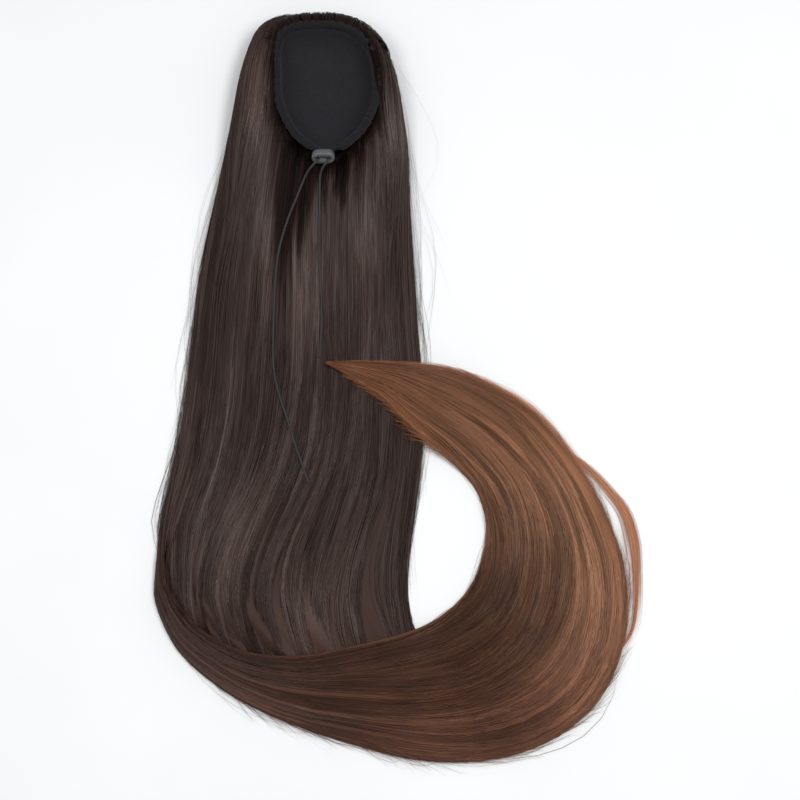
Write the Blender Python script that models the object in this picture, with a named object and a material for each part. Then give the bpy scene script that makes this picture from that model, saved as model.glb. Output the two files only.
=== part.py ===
"""Drawstring ponytail hairpiece, lying on a flat surface with the inside of its cap turned up.

Metres, +Z up. The origin is on the surface under the middle of the hairpiece, +Y runs towards the cap and
+X towards the open side of the loop of hair. The tables below are in millimetres.
"""

import math
from collections import namedtuple

import bmesh
import bpy
import numpy as np
from mathutils import Matrix

MM = 0.001
GAP = 0.3 * MM

# The cap's mouth is a rounded teardrop: wide and blunt at the top, narrowing towards the cord lock. Its top
# leans to the left.
MOUTH_X = -54.8 * MM
MOUTH_Y = 229.0 * MM
MOUTH_HALF_WIDTH = 39.0 * MM
MOUTH_UP = 52.0 * MM
MOUTH_DOWN = 52.5 * MM
MOUTH_LEAN = 8.0 * MM
BLUNT_TOP = (4.0, 0.38)
POINTED_FOOT = (1.7, 0.6)
CLOTH = 1.5 * MM
CUP_BOTTOM = 7.0 * MM
CUP_RIM = 33.0 * MM
CUP_SQUARENESS = 2.4
CUP_SIDES = 38
CUP_RINGS = 7

# The casing is a soft roll on top of the cup's rim, gathered by the cord inside it.
CASING_RADIUS = 3.0 * MM
CASING_OUT = 1.6 * MM
CASING_GATHERS = 22
CASING_GATHER_DEPTH = 0.5 * MM
CASING_SIDES = 6
CASING_STEPS = 89
CASING_HALF_OPENING = 8.8 * MM

# The cord lock is a flat two-hole button that leans back against the ends of the casing.
LOCK_CENTRE = (-57.6 * MM, 171.2 * MM, 36.5 * MM)
LOCK_SIZE = (18.0 * MM, 11.0 * MM, 6.0 * MM)
LOCK_HOLE = 3.6 * MM
LOCK_HOLE_SPACING = 8.6 * MM
LOCK_LEAN = math.radians(60)
CORD_DIAMETER = 1.7 * MM
CORD_STEP = 3.0

# A section of the fall runs straight across it. Its top is crest high and falls to EDGE at its sides.
EDGE = 3.0
FallSection = namedtuple("FallSection", "y left right crest fullness")
FALL = (
    FallSection(297.5, -83, -44, 22.0, 0.15),
    FallSection(295.0, -98, -36, 31.0, 0.15),
    FallSection(286.0, -111, -23, 36.0, 0.14),
    FallSection(272.0, -118, -10, 37.5, 0.13),
    FallSection(247.0, -125, -1, 38.0, 0.13),
    FallSection(213.0, -131, 5, 37.5, 0.15),
    FallSection(179.0, -138, 9, 32.0, 0.22),
    FallSection(146.0, -145, 10, 27.0, 0.32),
    FallSection(96.0, -154, 13, 22.0, 0.40),
    FallSection(38.0, -160, 17, 19.0, 0.46),
    FallSection(-18.0, -165, 21, 17.0, 0.48),
    FallSection(-66.0, -172, 19, 15.5, 0.48),
    FallSection(-113.0, -182, 13, 14.0, 0.46),
    FallSection(-144.0, -182, 9, 12.5, 0.42),
    FallSection(-175.0, -172, 7, 11.0, 0.38),
    FallSection(-206.0, -150, 18, 9.0, 0.35),
    FallSection(-236.0, -118, 24, 7.0, 0.30),
    FallSection(-258.0, -76, 14, 4.5, 0.30),
)
FALL_STEPS = 48
FALL_LOCKS = (0.10, 0.21, 0.30, 0.42, 0.53, 0.62, 0.74, 0.86, 1.0)
FALL_GROOVE = 1.6
FALL_SWAY = 0.12

# A section of the sweep runs from its outer edge to its inner edge. Each edge is lifted where it lies on the fall.
SweepSection = namedtuple("SweepSection", "outer_x outer_y outer_lift inner_x inner_y inner_lift thickness")
SWEEP = (
    SweepSection(-185.0, -118, 2.0, -178.0, -116, 6.5, 4.0),
    SweepSection(-187.5, -150, 0.0, -178.0, -147, 8.0, 6.0),
    SweepSection(-185.0, -176, 0.0, -174.0, -170, 8.5, 7.5),
    SweepSection(-169.0, -210, 0.0, -157.0, -195, 8.5, 9.0),
    SweepSection(-142.0, -235, 0.0, -131.0, -212, 8.5, 10.5),
    SweepSection(-112.0, -254, 0.0, -105.0, -220, 8.5, 12.0),
    SweepSection(-73.0, -271, 0.0, -69.0, -221, 8.5, 13.0),
    SweepSection(-31.0, -284, 0.0, -34.0, -214, 8.0, 14.0),
    SweepSection(14.0, -295, 0.0, -1.0, -206, 6.0, 16.0),
    SweepSection(60.0, -297, 0.0, 22.0, -197, 2.0, 18.0),
    SweepSection(101.0, -288, 0.0, 38.0, -187, 0.0, 19.0),
    SweepSection(136.0, -269, 0.0, 52.0, -174, 0.0, 19.0),
    SweepSection(161.0, -241, 0.0, 61.0, -160, 0.0, 19.0),
    SweepSection(174.0, -209, 0.0, 66.0, -146, 0.0, 18.5),
    SweepSection(178.0, -177, 0.0, 69.0, -132, 0.0, 18.0),
    SweepSection(175.0, -146, 0.0, 70.0, -118, 0.0, 18.0),
    SweepSection(166.0, -117, 0.0, 68.0, -103, 0.0, 18.0),
    SweepSection(152.0, -86, 0.0, 62.0, -88, 0.0, 17.5),
    SweepSection(132.0, -56, 0.0, 50.0, -74, 1.0, 17.0),
    SweepSection(106.0, -26, 0.0, 35.0, -61, 6.0, 16.0),
    SweepSection(73.0, -6, 4.0, 18.0, -48, 13.0, 13.5),
    SweepSection(44.0, 4, 10.0, 3.0, -34, 16.0, 11.0),
    SweepSection(16.0, 8, 15.0, -12.0, -19, 18.0, 9.0),
    SweepSection(-14.0, 9, 18.5, -29.0, -8, 18.5, 7.0),
    SweepSection(-42.0, 9, 19.5, -47.0, 3, 19.5, 4.5),
    SweepSection(-54.0, 9, 20.0, -55.0, 7, 20.0, 3.0),
)
SWEEP_STEPS = 54
SWEEP_LOCKS = (0.17, 0.38, 0.55, 0.77, 1.0)
SWEEP_GROOVE = 1.5
SWEEP_EDGE = 2.5
SWEEP_FULLNESS = 0.42

# The stray lock follows the outer edge of the loop, some way off it, and runs under the edge at both ends.
StraySection = namedtuple("StraySection", "x y width height")
STRAY = (
    StraySection(126.0, -54, 3.0, 3.0),
    StraySection(146.0, -69, 4.0, 3.5),
    StraySection(164.0, -88, 4.5, 3.5),
    StraySection(177.0, -106, 5.0, 3.5),
    StraySection(183.5, -129, 5.5, 3.5),
    StraySection(185.2, -152, 4.6, 3.5),
    StraySection(184.7, -176, 4.6, 3.5),
    StraySection(180.0, -200, 4.5, 3.5),
    StraySection(164.0, -222, 3.0, 3.0),
)
STRAY_STEPS = 22

# The free ends of the drawstring, from the holes of the cord lock to their bare ends.
LEFT_ROUTE = (
    (-61.9, 170.1, 37.0),
    (-62.2, 167.4, 38.6),
    (-64.4, 164.4, 39.0),
    (-67.6, 161.1, 37.4),
    (-70.8, 157.5, 33.6),
    (-73.0, 153.3, 31.1),
    (-76.0, 146.5, 28.9),
    (-80.0, 137.2, 26.4),
    (-84.0, 127.5, 25.0),
    (-89.3, 111.0, 23.7),
    (-92.9, 95.0, 22.4),
    (-95.0, 75.0, 21.3),
    (-95.7, 52.0, 20.2),
    (-96.0, 28.0, 19.2),
    (-95.4, 3.0, 18.3),
    (-90.9, -17.0, 17.2),
    (-83.9, -38.0, 17.4),
    (-78.0, -57.0, 16.9),
    (-71.8, -74.0, 16.3),
    (-67.2, -86.5, 16.1),
)
RIGHT_ROUTE = (
    (-53.3, 170.1, 37.0),
    (-53.5, 167.4, 38.6),
    (-55.3, 164.5, 39.0),
    (-57.9, 161.3, 37.5),
    (-59.8, 157.3, 33.2),
    (-60.3, 152.5, 30.5),
    (-60.4, 145.5, 28.4),
    (-60.4, 136.3, 26.5),
    (-60.6, 126.0, 25.4),
    (-60.9, 114.0, 24.2),
    (-60.9, 101.0, 23.2),
    (-60.3, 87.0, 22.3),
    (-59.5, 73.0, 21.6),
    (-58.7, 60.0, 21.0),
    (-58.3, 47.0, 20.5),
    (-58.6, 35.0, 20.0),
    (-59.2, 23.0, 19.5),
    (-59.5, 12.5, 19.0),
)


def clear_scene():
    for obj in list(bpy.data.objects):
        bpy.data.objects.remove(obj)


def plain_material(name, colour, roughness):
    material = bpy.data.materials.new(name)
    material.use_nodes = True
    shader = material.node_tree.nodes["Principled BSDF"]
    shader.inputs["Base Color"].default_value = (*colour, 1.0)
    shader.inputs["Roughness"].default_value = roughness
    shader.inputs["Metallic"].default_value = 0.0
    return material


def solid_object(name, points, faces, material):
    """A mesh object from points and faces, with its normals turned outwards."""
    mesh = bpy.data.meshes.new(name)
    mesh.from_pydata([tuple(point) for point in points], [], faces)
    body = bmesh.new()
    body.from_mesh(mesh)
    bmesh.ops.recalc_face_normals(body, faces=body.faces)
    body.to_mesh(mesh)
    body.free()
    mesh.materials.append(material)
    obj = bpy.data.objects.new(name, mesh)
    bpy.context.collection.objects.link(obj)
    return obj


def cut(obj, cutter):
    """Takes the cutter's volume out of the object, and keeps the cutter as a hidden guide."""
    cutter.hide_render = True
    cutter.display_type = "WIRE"
    difference = obj.modifiers.new("cut_" + cutter.name, "BOOLEAN")
    difference.operation = "DIFFERENCE"
    difference.object = cutter


def smooth_rows(rows, steps):
    """The table's columns on a smooth curve through its rows, read at evenly spaced places along it."""
    table = np.array(rows, float)
    slopes = np.gradient(table, axis=0)
    place = np.linspace(0, len(table) - 1, steps + 1)
    row = np.minimum(place.astype(int), len(table) - 2)
    t = (place - row)[:, None]
    start, end = table[row], table[row + 1]
    rise = 3 * t**2 - 2 * t**3
    leave = t**3 - 2 * t**2 + t
    arrive = t**3 - t**2
    return start + (end - start) * rise + slopes[row] * leave + slopes[row + 1] * arrive


def lock_columns(lock_edges):
    """Four columns to each lock: (fraction across, depth of the groove there from 0 to 1)."""
    fractions, grooves = [], []
    start = 0.0
    for end in lock_edges:
        for quarter in range(4):
            fractions.append(start + (end - start) * quarter / 4)
            grooves.append(abs(quarter / 2 - 1) ** 1.5)
        start = end
    return np.array(fractions + [1.0]), np.array(grooves + [1.0])


def loft(name, tops, floor, material):
    """A solid between a grid of top points, one row for each section, and a flat floor under it."""
    sections, across = tops.shape[:2]
    left = tops[:, :1].copy()
    right = tops[:, -1:].copy()
    left[..., 2] = floor
    right[..., 2] = floor
    rings = np.concatenate([left, tops, right], axis=1)
    count = across + 2
    faces = []
    for row in range(sections - 1):
        for column in range(count):
            after = (column + 1) % count
            here, there = row * count, (row + 1) * count
            faces.append((here + column, here + after, there + after, there + column))
    faces.append(tuple(range(count)))
    faces.append(tuple((sections - 1) * count + column for column in reversed(range(count))))
    return solid_object(name, rings.reshape(-1, 3), faces, material)


def fall_tops(grow):
    """The top of the fall: a dome between its two sides, grooved between its locks."""
    rows = smooth_rows(FALL, FALL_STEPS)
    y, left, right, crest, fullness = (rows[:, column : column + 1] for column in range(5))
    fraction, groove = lock_columns(FALL_LOCKS)
    # The locks sway towards the left side in the lower half and come back before the foot.
    sway = FALL_SWAY * np.exp(-(((y + 170) / 75) ** 2)) * np.sin(math.pi * fraction)
    fraction = fraction - sway
    x = left - grow + (right - left + 2 * grow) * fraction
    dome = np.maximum(np.sin(math.pi * fraction), 0) ** fullness
    depth = FALL_GROOVE * groove * np.clip(crest / 15, 0.3, 1.0)
    depth = depth * np.clip(np.sin(math.pi * fraction) * 3, 0, 1)
    z = EDGE + (crest - EDGE) * dome - depth + grow
    along = y + 0 * x
    along[0] += grow
    along[-1] -= grow
    return np.stack([x, along, z], axis=2) * MM


def sweep_tops(grow):
    """The top of the sweep: a dome on the line between its two lifted edges, grooved between its locks."""
    rows = smooth_rows(SWEEP, SWEEP_STEPS)
    fraction, groove = lock_columns(SWEEP_LOCKS)
    outer, inner, thickness = rows[:, :3], rows[:, 3:6], rows[:, 6:7]
    across = inner - outer
    width = np.linalg.norm(across[:, :2], axis=1, keepdims=True)
    across[:, :2] *= 1 + 2 * grow / width
    outer[:, :2] -= across[:, :2] / (width + 2 * grow) * grow
    points = outer[:, None] + across[:, None] * fraction[None, :, None]
    dome = np.sin(math.pi * np.clip(fraction, 0, 1)) ** SWEEP_FULLNESS
    edge = np.minimum(SWEEP_EDGE, thickness * 0.5)
    lens = edge + (thickness - edge) * dome
    depth = SWEEP_GROOVE * groove * np.clip(thickness / 15, 0.2, 1.0)
    depth = depth * np.clip(np.sin(math.pi * fraction) * 3, 0, 1)
    points[..., 2] += lens - depth + grow
    return points * MM


def mouth_outline(offset, count):
    """Points round the mouth, from its foot up the left side and down the right, evenly spaced."""
    angle = np.linspace(-math.pi, math.pi, 721)
    up = np.cos(angle)
    power = np.where(up > 0, BLUNT_TOP[0], POINTED_FOOT[0])
    root = np.where(up > 0, BLUNT_TOP[1], POINTED_FOOT[1])
    half = MOUTH_HALF_WIDTH * np.clip(1 - np.abs(up) ** power, 0, 1) ** root
    x = MOUTH_X - MOUTH_LEAN * np.maximum(up, 0) ** 2 + np.sign(np.sin(angle)) * half
    y = MOUTH_Y + np.where(up > 0, MOUTH_UP, MOUTH_DOWN) * up
    run = np.gradient(np.stack([x, y], axis=1), axis=0)
    run /= np.linalg.norm(run, axis=1, keepdims=True) + 1e-12
    x = x - run[:, 1] * offset
    y = y + run[:, 0] * offset
    length = np.concatenate([[0], np.cumsum(np.hypot(np.diff(x), np.diff(y)))])
    place = np.linspace(0, length[-1], count + 1)[:-1]
    return np.stack([np.interp(place, length, x), np.interp(place, length, y)], axis=1)


def cup_rings(grow):
    """Rings of the cup's outer skin from its rim down to its middle, set out by grow."""
    rim = mouth_outline(grow, CUP_SIDES)
    centre = np.array([MOUTH_X, MOUTH_Y])
    rings = []
    for step in range(CUP_RINGS):
        turn = math.pi / 2 * step / CUP_RINGS
        inward = math.cos(turn) ** (2 / CUP_SQUARENESS)
        down = math.sin(turn) ** (2 / CUP_SQUARENESS)
        height = CUP_RIM - (CUP_RIM - CUP_BOTTOM + grow) * down
        flat = centre + (rim - centre) * inward
        rings.append(np.column_stack([flat, np.full(CUP_SIDES, height)]))
    return rings


def bowl_faces(ring_count, sides):
    """Quads between rings and a fan of triangles to the point after the last ring."""
    faces = []
    for ring in range(ring_count - 1):
        for side in range(sides):
            after = (side + 1) % sides
            here, there = ring * sides, (ring + 1) * sides
            faces.append((here + side, here + after, there + after, there + side))
    last = (ring_count - 1) * sides
    for side in range(sides):
        faces.append((last + side, last + (side + 1) % sides, ring_count * sides))
    return faces


def make_cap(material):
    """The cloth cup: one skin that the Solidify modifier thickens inwards."""
    rings = cup_rings(0)
    points = np.concatenate(rings + [np.array([[MOUTH_X, MOUTH_Y, CUP_BOTTOM]])])
    cap = solid_object("cap", points, bowl_faces(CUP_RINGS, CUP_SIDES), material)
    cloth = cap.modifiers.new("cloth", "SOLIDIFY")
    cloth.thickness = CLOTH
    cloth.offset = 1.0 if cap_faces_in(cap) else -1.0
    cloth.use_even_offset = True
    return cap


def cap_faces_in(cap):
    """True where the skin's normals point into the cup."""
    lowest = min(cap.data.polygons, key=lambda face: face.center.z)
    return lowest.normal.z > 0


def make_cap_seat(material):
    """What the cup and its casing take out of the hair: the cup's outer shape, wider above its rim."""
    rings = cup_rings(GAP)
    ledge = mouth_outline(CASING_OUT + CASING_RADIUS + CASING_GATHER_DEPTH + GAP, CUP_SIDES)
    ledge_height = CUP_RIM - GAP
    for height in (ledge_height, 2 * CUP_RIM):
        rings.insert(0, np.column_stack([ledge, np.full(CUP_SIDES, height)]))
    rings[2][:, 2] = ledge_height
    points = np.concatenate(rings + [np.array([[MOUTH_X, MOUTH_Y, CUP_BOTTOM - GAP]])])
    faces = bowl_faces(len(rings), CUP_SIDES)
    faces.append(tuple(range(CUP_SIDES)))
    return solid_object("cap_seat", points, faces, material)


def tube_rings(centres, radii, sides):
    """Rings of a tube round level centres, and the faces that close it."""
    run = np.gradient(centres, axis=0)
    run /= np.linalg.norm(run, axis=1, keepdims=True)
    sideways = np.column_stack([-run[:, 1], run[:, 0], np.zeros(len(run))])
    turn = np.arange(sides) * 2 * math.pi / sides
    rise = np.array([0, 0, 1.0])
    ring = sideways[:, None] * np.cos(turn)[None, :, None] + rise * np.sin(turn)[None, :, None]
    points = centres[:, None] + ring * radii[:, None, None]
    faces = []
    for row in range(len(centres) - 1):
        for side in range(sides):
            after = (side + 1) % sides
            here, there = row * sides, (row + 1) * sides
            faces.append((here + side, here + after, there + after, there + side))
    faces.append(tuple(range(sides)))
    faces.append(tuple((len(centres) - 1) * sides + side for side in reversed(range(sides))))
    return points.reshape(-1, 3), faces


def make_rim_casing(material):
    """A gathered roll along the mouth's edge, open where the cord lock sits."""
    fine = mouth_outline(CASING_OUT, 2000)
    length = np.concatenate([[0], np.cumsum(np.linalg.norm(np.diff(fine, axis=0), axis=1))])
    place = np.linspace(CASING_HALF_OPENING, length[-1] - CASING_HALF_OPENING, CASING_STEPS)
    x = np.interp(place, length, fine[:, 0])
    y = np.interp(place, length, fine[:, 1])
    flat_below = math.cos(math.pi / CASING_SIDES)
    middle = CUP_RIM + 2 * GAP + (CASING_RADIUS + CASING_GATHER_DEPTH) * flat_below
    height = np.full(CASING_STEPS, middle)
    wave = np.sin(np.linspace(0, 2 * math.pi * CASING_GATHERS, CASING_STEPS))
    radii = CASING_RADIUS + CASING_GATHER_DEPTH * wave
    radii[[0, -1]] *= 0.8
    points, faces = tube_rings(np.column_stack([x, y, height]), radii, CASING_SIDES)
    return solid_object("rim_casing", points, faces, material)


def make_hair_fall(cap_seat, material):
    fall = loft("hair_fall", fall_tops(0), 0.0, material)
    cut(fall, cap_seat)
    return fall


def make_hair_sweep(material):
    """The sweep, with its underside shaped by the fall that it lies on."""
    sweep = loft("hair_sweep", sweep_tops(0), 0.0, material)
    seat = loft("fall_seat", fall_tops(GAP / MM), -2 * MM, material)
    cut(sweep, seat)
    return sweep


def make_stray_lock(material):
    """A thin lock with a rounded back, trimmed where it meets the edge of the sweep."""
    rows = smooth_rows(STRAY, STRAY_STEPS) * MM
    run = np.gradient(rows[:, :2], axis=0)
    run /= np.linalg.norm(run, axis=1, keepdims=True)
    sideways = np.column_stack([run[:, 1], -run[:, 0]])
    across = np.array([-0.5, -0.3, 0.0, 0.3, 0.5])
    rise = np.array([0.35, 0.85, 1.0, 0.85, 0.35])
    flat = rows[:, None, :2] + sideways[:, None] * across[None, :, None] * rows[:, 2, None, None]
    height = rows[:, 3:4] * rise
    stray = loft("stray_lock", np.concatenate([flat, height[..., None]], axis=2), 0.0, material)
    cut(stray, loft("sweep_seat", sweep_tops(GAP / MM), -2 * MM, material))
    return stray


def make_cord_lock(material):
    """A rounded button with two holes, leaning back so that the holes look towards the hair."""
    width, height, thick = LOCK_SIZE
    body = bmesh.new()
    bmesh.ops.create_cube(body, size=1.0, matrix=Matrix.Diagonal((width, height, thick, 1.0)))
    mesh = bpy.data.meshes.new("cord_lock")
    body.to_mesh(mesh)
    body.free()
    mesh.materials.append(material)
    lock = bpy.data.objects.new("cord_lock", mesh)
    bpy.context.collection.objects.link(lock)
    lock.location = LOCK_CENTRE
    lock.rotation_euler = (LOCK_LEAN, 0, 0)
    outline = lock.modifiers.new("round_outline", "BEVEL")
    outline.width = 0.48 * height
    outline.segments = 6
    outline.limit_method = "WEIGHT"
    weights = mesh.attributes.new("bevel_weight_edge", "FLOAT", "EDGE")
    for edge in mesh.edges:
        start, end = (mesh.vertices[index].co for index in edge.vertices)
        upright = abs(start.z - end.z) > thick / 2
        weights.data[edge.index].value = 1.0 if upright else 0.0
    rim = lock.modifiers.new("soft_rim", "BEVEL")
    rim.width = 1.0 * MM
    rim.segments = 2
    rim.limit_method = "ANGLE"
    rim.angle_limit = math.radians(60)
    for side in (-1, 1):
        drill = bmesh.new()
        bmesh.ops.create_cone(
            drill,
            cap_ends=True,
            segments=12,
            radius1=LOCK_HOLE / 2,
            radius2=LOCK_HOLE / 2,
            depth=3 * thick,
            matrix=Matrix.Translation((side * LOCK_HOLE_SPACING / 2, 0, 0)),
        )
        drill_mesh = bpy.data.meshes.new("drill")
        drill.to_mesh(drill_mesh)
        drill.free()
        cutter = bpy.data.objects.new("lock_hole", drill_mesh)
        bpy.context.collection.objects.link(cutter)
        cutter.location = LOCK_CENTRE
        cutter.rotation_euler = (LOCK_LEAN, 0, 0)
        cut(lock, cutter)
    return lock


def smooth_route(route):
    """Points every few diameters on a smooth curve through the route's own points."""
    fine = smooth_rows(route, 40 * (len(route) - 1)) * MM
    length = np.concatenate([[0], np.cumsum(np.linalg.norm(np.diff(fine, axis=0), axis=1))])
    count = int(length[-1] / (CORD_STEP * CORD_DIAMETER)) + 1
    place = np.linspace(0, length[-1], count)
    return np.column_stack([np.interp(place, length, fine[:, axis]) for axis in range(3)])


def make_drawstring(name, route, material):
    points = smooth_route(route)
    curve = bpy.data.curves.new(name, "CURVE")
    curve.dimensions = "3D"
    curve.bevel_depth = CORD_DIAMETER / 2
    curve.bevel_resolution = 2
    curve.use_fill_caps = True
    spline = curve.splines.new("POLY")
    spline.points.add(len(points) - 1)
    for target, point in zip(spline.points, points):
        target.co = (*point, 1.0)
    curve.materials.append(material)
    cord = bpy.data.objects.new(name, curve)
    bpy.context.collection.objects.link(cord)
    return cord


def main():
    clear_scene()
    cloth = plain_material("black_cloth", (0.02, 0.02, 0.023), 0.9)
    dark_hair = plain_material("dark_hair", (0.045, 0.030, 0.025), 0.45)
    copper_hair = plain_material("copper_hair", (0.21, 0.085, 0.045), 0.45)
    plastic = plain_material("dark_plastic", (0.06, 0.06, 0.062), 0.35)
    cord = plain_material("dark_cord", (0.05, 0.05, 0.055), 0.7)
    make_cap(cloth)
    make_rim_casing(cloth)
    make_hair_fall(make_cap_seat(cloth), dark_hair)
    make_hair_sweep(copper_hair)
    make_stray_lock(copper_hair)
    make_cord_lock(plastic)
    make_drawstring("drawstring_left", LEFT_ROUTE, cord)
    make_drawstring("drawstring_right", RIGHT_ROUTE, cord)


main()
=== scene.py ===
# %% [markdown]
# A ponytail hairpiece lies on a pale table with the inside of its cap turned up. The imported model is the
# fixed frame: every piece below sits where that model has it. Lengths in the tables are millimetres, as a
# maker would write them, and MM turns them into Blender's metres.

import math

import bmesh
import bpy
import numpy as np
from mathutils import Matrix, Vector


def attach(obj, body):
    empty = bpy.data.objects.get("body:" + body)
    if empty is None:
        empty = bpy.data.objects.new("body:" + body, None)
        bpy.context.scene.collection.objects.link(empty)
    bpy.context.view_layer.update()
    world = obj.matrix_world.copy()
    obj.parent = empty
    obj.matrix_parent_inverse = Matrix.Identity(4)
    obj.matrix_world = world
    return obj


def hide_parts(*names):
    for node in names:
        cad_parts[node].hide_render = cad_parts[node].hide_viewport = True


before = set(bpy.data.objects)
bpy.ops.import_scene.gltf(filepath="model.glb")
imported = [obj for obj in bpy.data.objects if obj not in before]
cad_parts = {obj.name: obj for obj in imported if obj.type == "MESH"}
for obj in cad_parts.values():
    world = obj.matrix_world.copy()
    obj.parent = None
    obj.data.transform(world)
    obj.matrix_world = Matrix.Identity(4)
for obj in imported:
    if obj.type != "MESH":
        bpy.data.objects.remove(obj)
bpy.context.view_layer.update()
MM = 0.001
BODY = "root"
print("nodes:", sorted(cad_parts))

# %% [markdown]
# The photograph looks almost straight down, from the foot of the hairpiece. A long lens a metre and a half
# away keeps the cap and the loop of hair in proportion, so the camera is set up before anything else.

# %% The camera
CAMERA_TARGET = Vector((0.003, -0.020, 0.012))
CAMERA_ELEVATION = math.radians(78)
CAMERA_DISTANCE = 1.5
FRAME_WIDTH = 0.624
SENSOR_WIDTH = 36.0

looking = Vector((0, math.cos(CAMERA_ELEVATION), -math.sin(CAMERA_ELEVATION)))
camera_data = bpy.data.cameras.new("camera")
camera_data.sensor_width = SENSOR_WIDTH
camera_data.lens = SENSOR_WIDTH * CAMERA_DISTANCE / FRAME_WIDTH
camera = bpy.data.objects.new("camera", camera_data)
camera.location = CAMERA_TARGET - looking * CAMERA_DISTANCE
camera.rotation_euler = looking.to_track_quat("-Z", "Y").to_euler()
bpy.context.scene.collection.objects.link(camera)
bpy.context.scene.camera = camera
print("lens", round(camera_data.lens, 1), "mm")

# %% [markdown]
# Every new piece is a surface worked out with numpy on a grid of rows and columns. A few helpers serve them
# all: they number a grid's faces, close its ends, write whole arrays into a mesh, and read a short table as
# a smooth curve, so that a few listed rows give as many sections as the piece needs.


# %% Helpers for grids
def wrapped_grid(rows, columns):
    """The faces of a grid that joins its last column to its first: the row and the column of each corner,
    and its point. At the join the column is the full count, so that a UV map can run on."""
    row, column = np.meshgrid(np.arange(rows - 1), np.arange(columns), indexing="ij")
    row = (row[..., None] + np.array([0, 1, 1, 0])).reshape(-1, 4)
    column = (column[..., None] + np.array([0, 0, 1, 1])).reshape(-1, 4)
    return row, column, row * columns + column % columns


def end_fans(rows, columns):
    """Triangles from the grid's first and last rows to two poles, the points that follow the grid's own."""
    here = np.arange(columns)
    after = (here + 1) % columns
    pole = np.full(columns, rows * columns)
    end = (rows - 1) * columns
    first = np.column_stack([here, after, pole])
    last = np.column_stack([after + end, here + end, pole + 1])
    return np.concatenate([first, last])


def put_mesh(name, points, quads, triangles=(), corner_map=None, values=None, material=None):
    """A smooth mesh object from whole arrays. corner_map holds u and v for each corner of the quads, and
    values holds a number for each point under the name that a material reads."""
    quads = np.asarray(quads, np.int32).reshape(-1, 4)
    triangles = np.asarray(triangles, np.int32).reshape(-1, 3)
    mesh = bpy.data.meshes.new(name)
    mesh.vertices.add(len(points))
    mesh.vertices.foreach_set("co", np.asarray(points, np.float32).ravel())
    corners = np.concatenate([quads.ravel(), triangles.ravel()])
    mesh.loops.add(len(corners))
    mesh.loops.foreach_set("vertex_index", corners)
    starts = np.concatenate([4 * np.arange(len(quads)), quads.size + 3 * np.arange(len(triangles))])
    mesh.polygons.add(len(starts))
    mesh.polygons.foreach_set("loop_start", starts.astype(np.int32))
    mesh.update(calc_edges=True)
    mesh.shade_smooth()
    if corner_map is not None:
        along = np.zeros(2 * len(corners), np.float32)
        along[: corner_map.size] = corner_map.ravel()
        mesh.uv_layers.new(name="along").uv.foreach_set("vector", along)
    for key, value in (values or {}).items():
        attribute = mesh.attributes.new(key, "FLOAT", "POINT")
        attribute.data.foreach_set("value", np.asarray(value, np.float32).ravel())
    if material is not None:
        mesh.materials.append(material)
    obj = bpy.data.objects.new(name, mesh)
    bpy.context.scene.collection.objects.link(obj)
    return obj


def hand_over(piece, node=None):
    """Fixes a piece to the body and, where it stands for a solid, hides that solid."""
    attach(piece, BODY)
    if node is not None:
        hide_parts(node)


def read_rows(table, place):
    """The table's columns at any place along its rows. Between two rows it is a cubic that leaves each row
    with the slope of the rows on both sides of it."""
    table = np.array(table, float)
    slopes = np.gradient(table, axis=0)
    place = np.clip(place, 0, len(table) - 1)
    row = np.minimum(place.astype(int), len(table) - 2)
    t = (place - row)[..., None]
    rise = 3 * t**2 - 2 * t**3
    leave = t**3 - 2 * t**2 + t
    arrive = t**3 - t**2
    start, end = table[row], table[row + 1]
    return start + (end - start) * rise + slopes[row] * leave + slopes[row + 1] * arrive


def smoothstep(low, high, value):
    """0 below low, 1 above high, and a soft S between them."""
    t = np.clip((value - low) / (high - low), 0, 1)
    return t * t * (3 - 2 * t)


def unit(vectors):
    return vectors / (np.linalg.norm(vectors, axis=-1, keepdims=True) + 1e-12)


def distance_along(points):
    """How far each point lies along its line: the running sum of the lengths between points."""
    steps = np.linalg.norm(np.diff(points, axis=-2), axis=-1)
    return np.concatenate([0 * steps[..., :1], np.cumsum(steps, axis=-1)], axis=-1)


def full_turn(count):
    """Angles spaced evenly round a circle."""
    return np.arange(count) * 2 * math.pi / count


def drift(across, along, seed, cycles_across, cycles_along, terms=7):
    """A smooth random field from about -1 to 1: the sum of sine waves of many directions and phases."""
    chance = np.random.default_rng(seed)
    total = 0
    for _ in range(terms):
        sideways = chance.uniform(-cycles_across, cycles_across)
        forward = chance.uniform(0.2, 1.0) * cycles_along
        phase = chance.uniform(0, 2 * math.pi)
        total = total + np.sin(2 * math.pi * (sideways * across + forward * along) + phase)
    return total / math.sqrt(terms)


# %% [markdown]
# Node trees read best when they are written as a few sentences. These helpers add a node, set its sockets
# and hand back the output that the next one needs.


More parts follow.
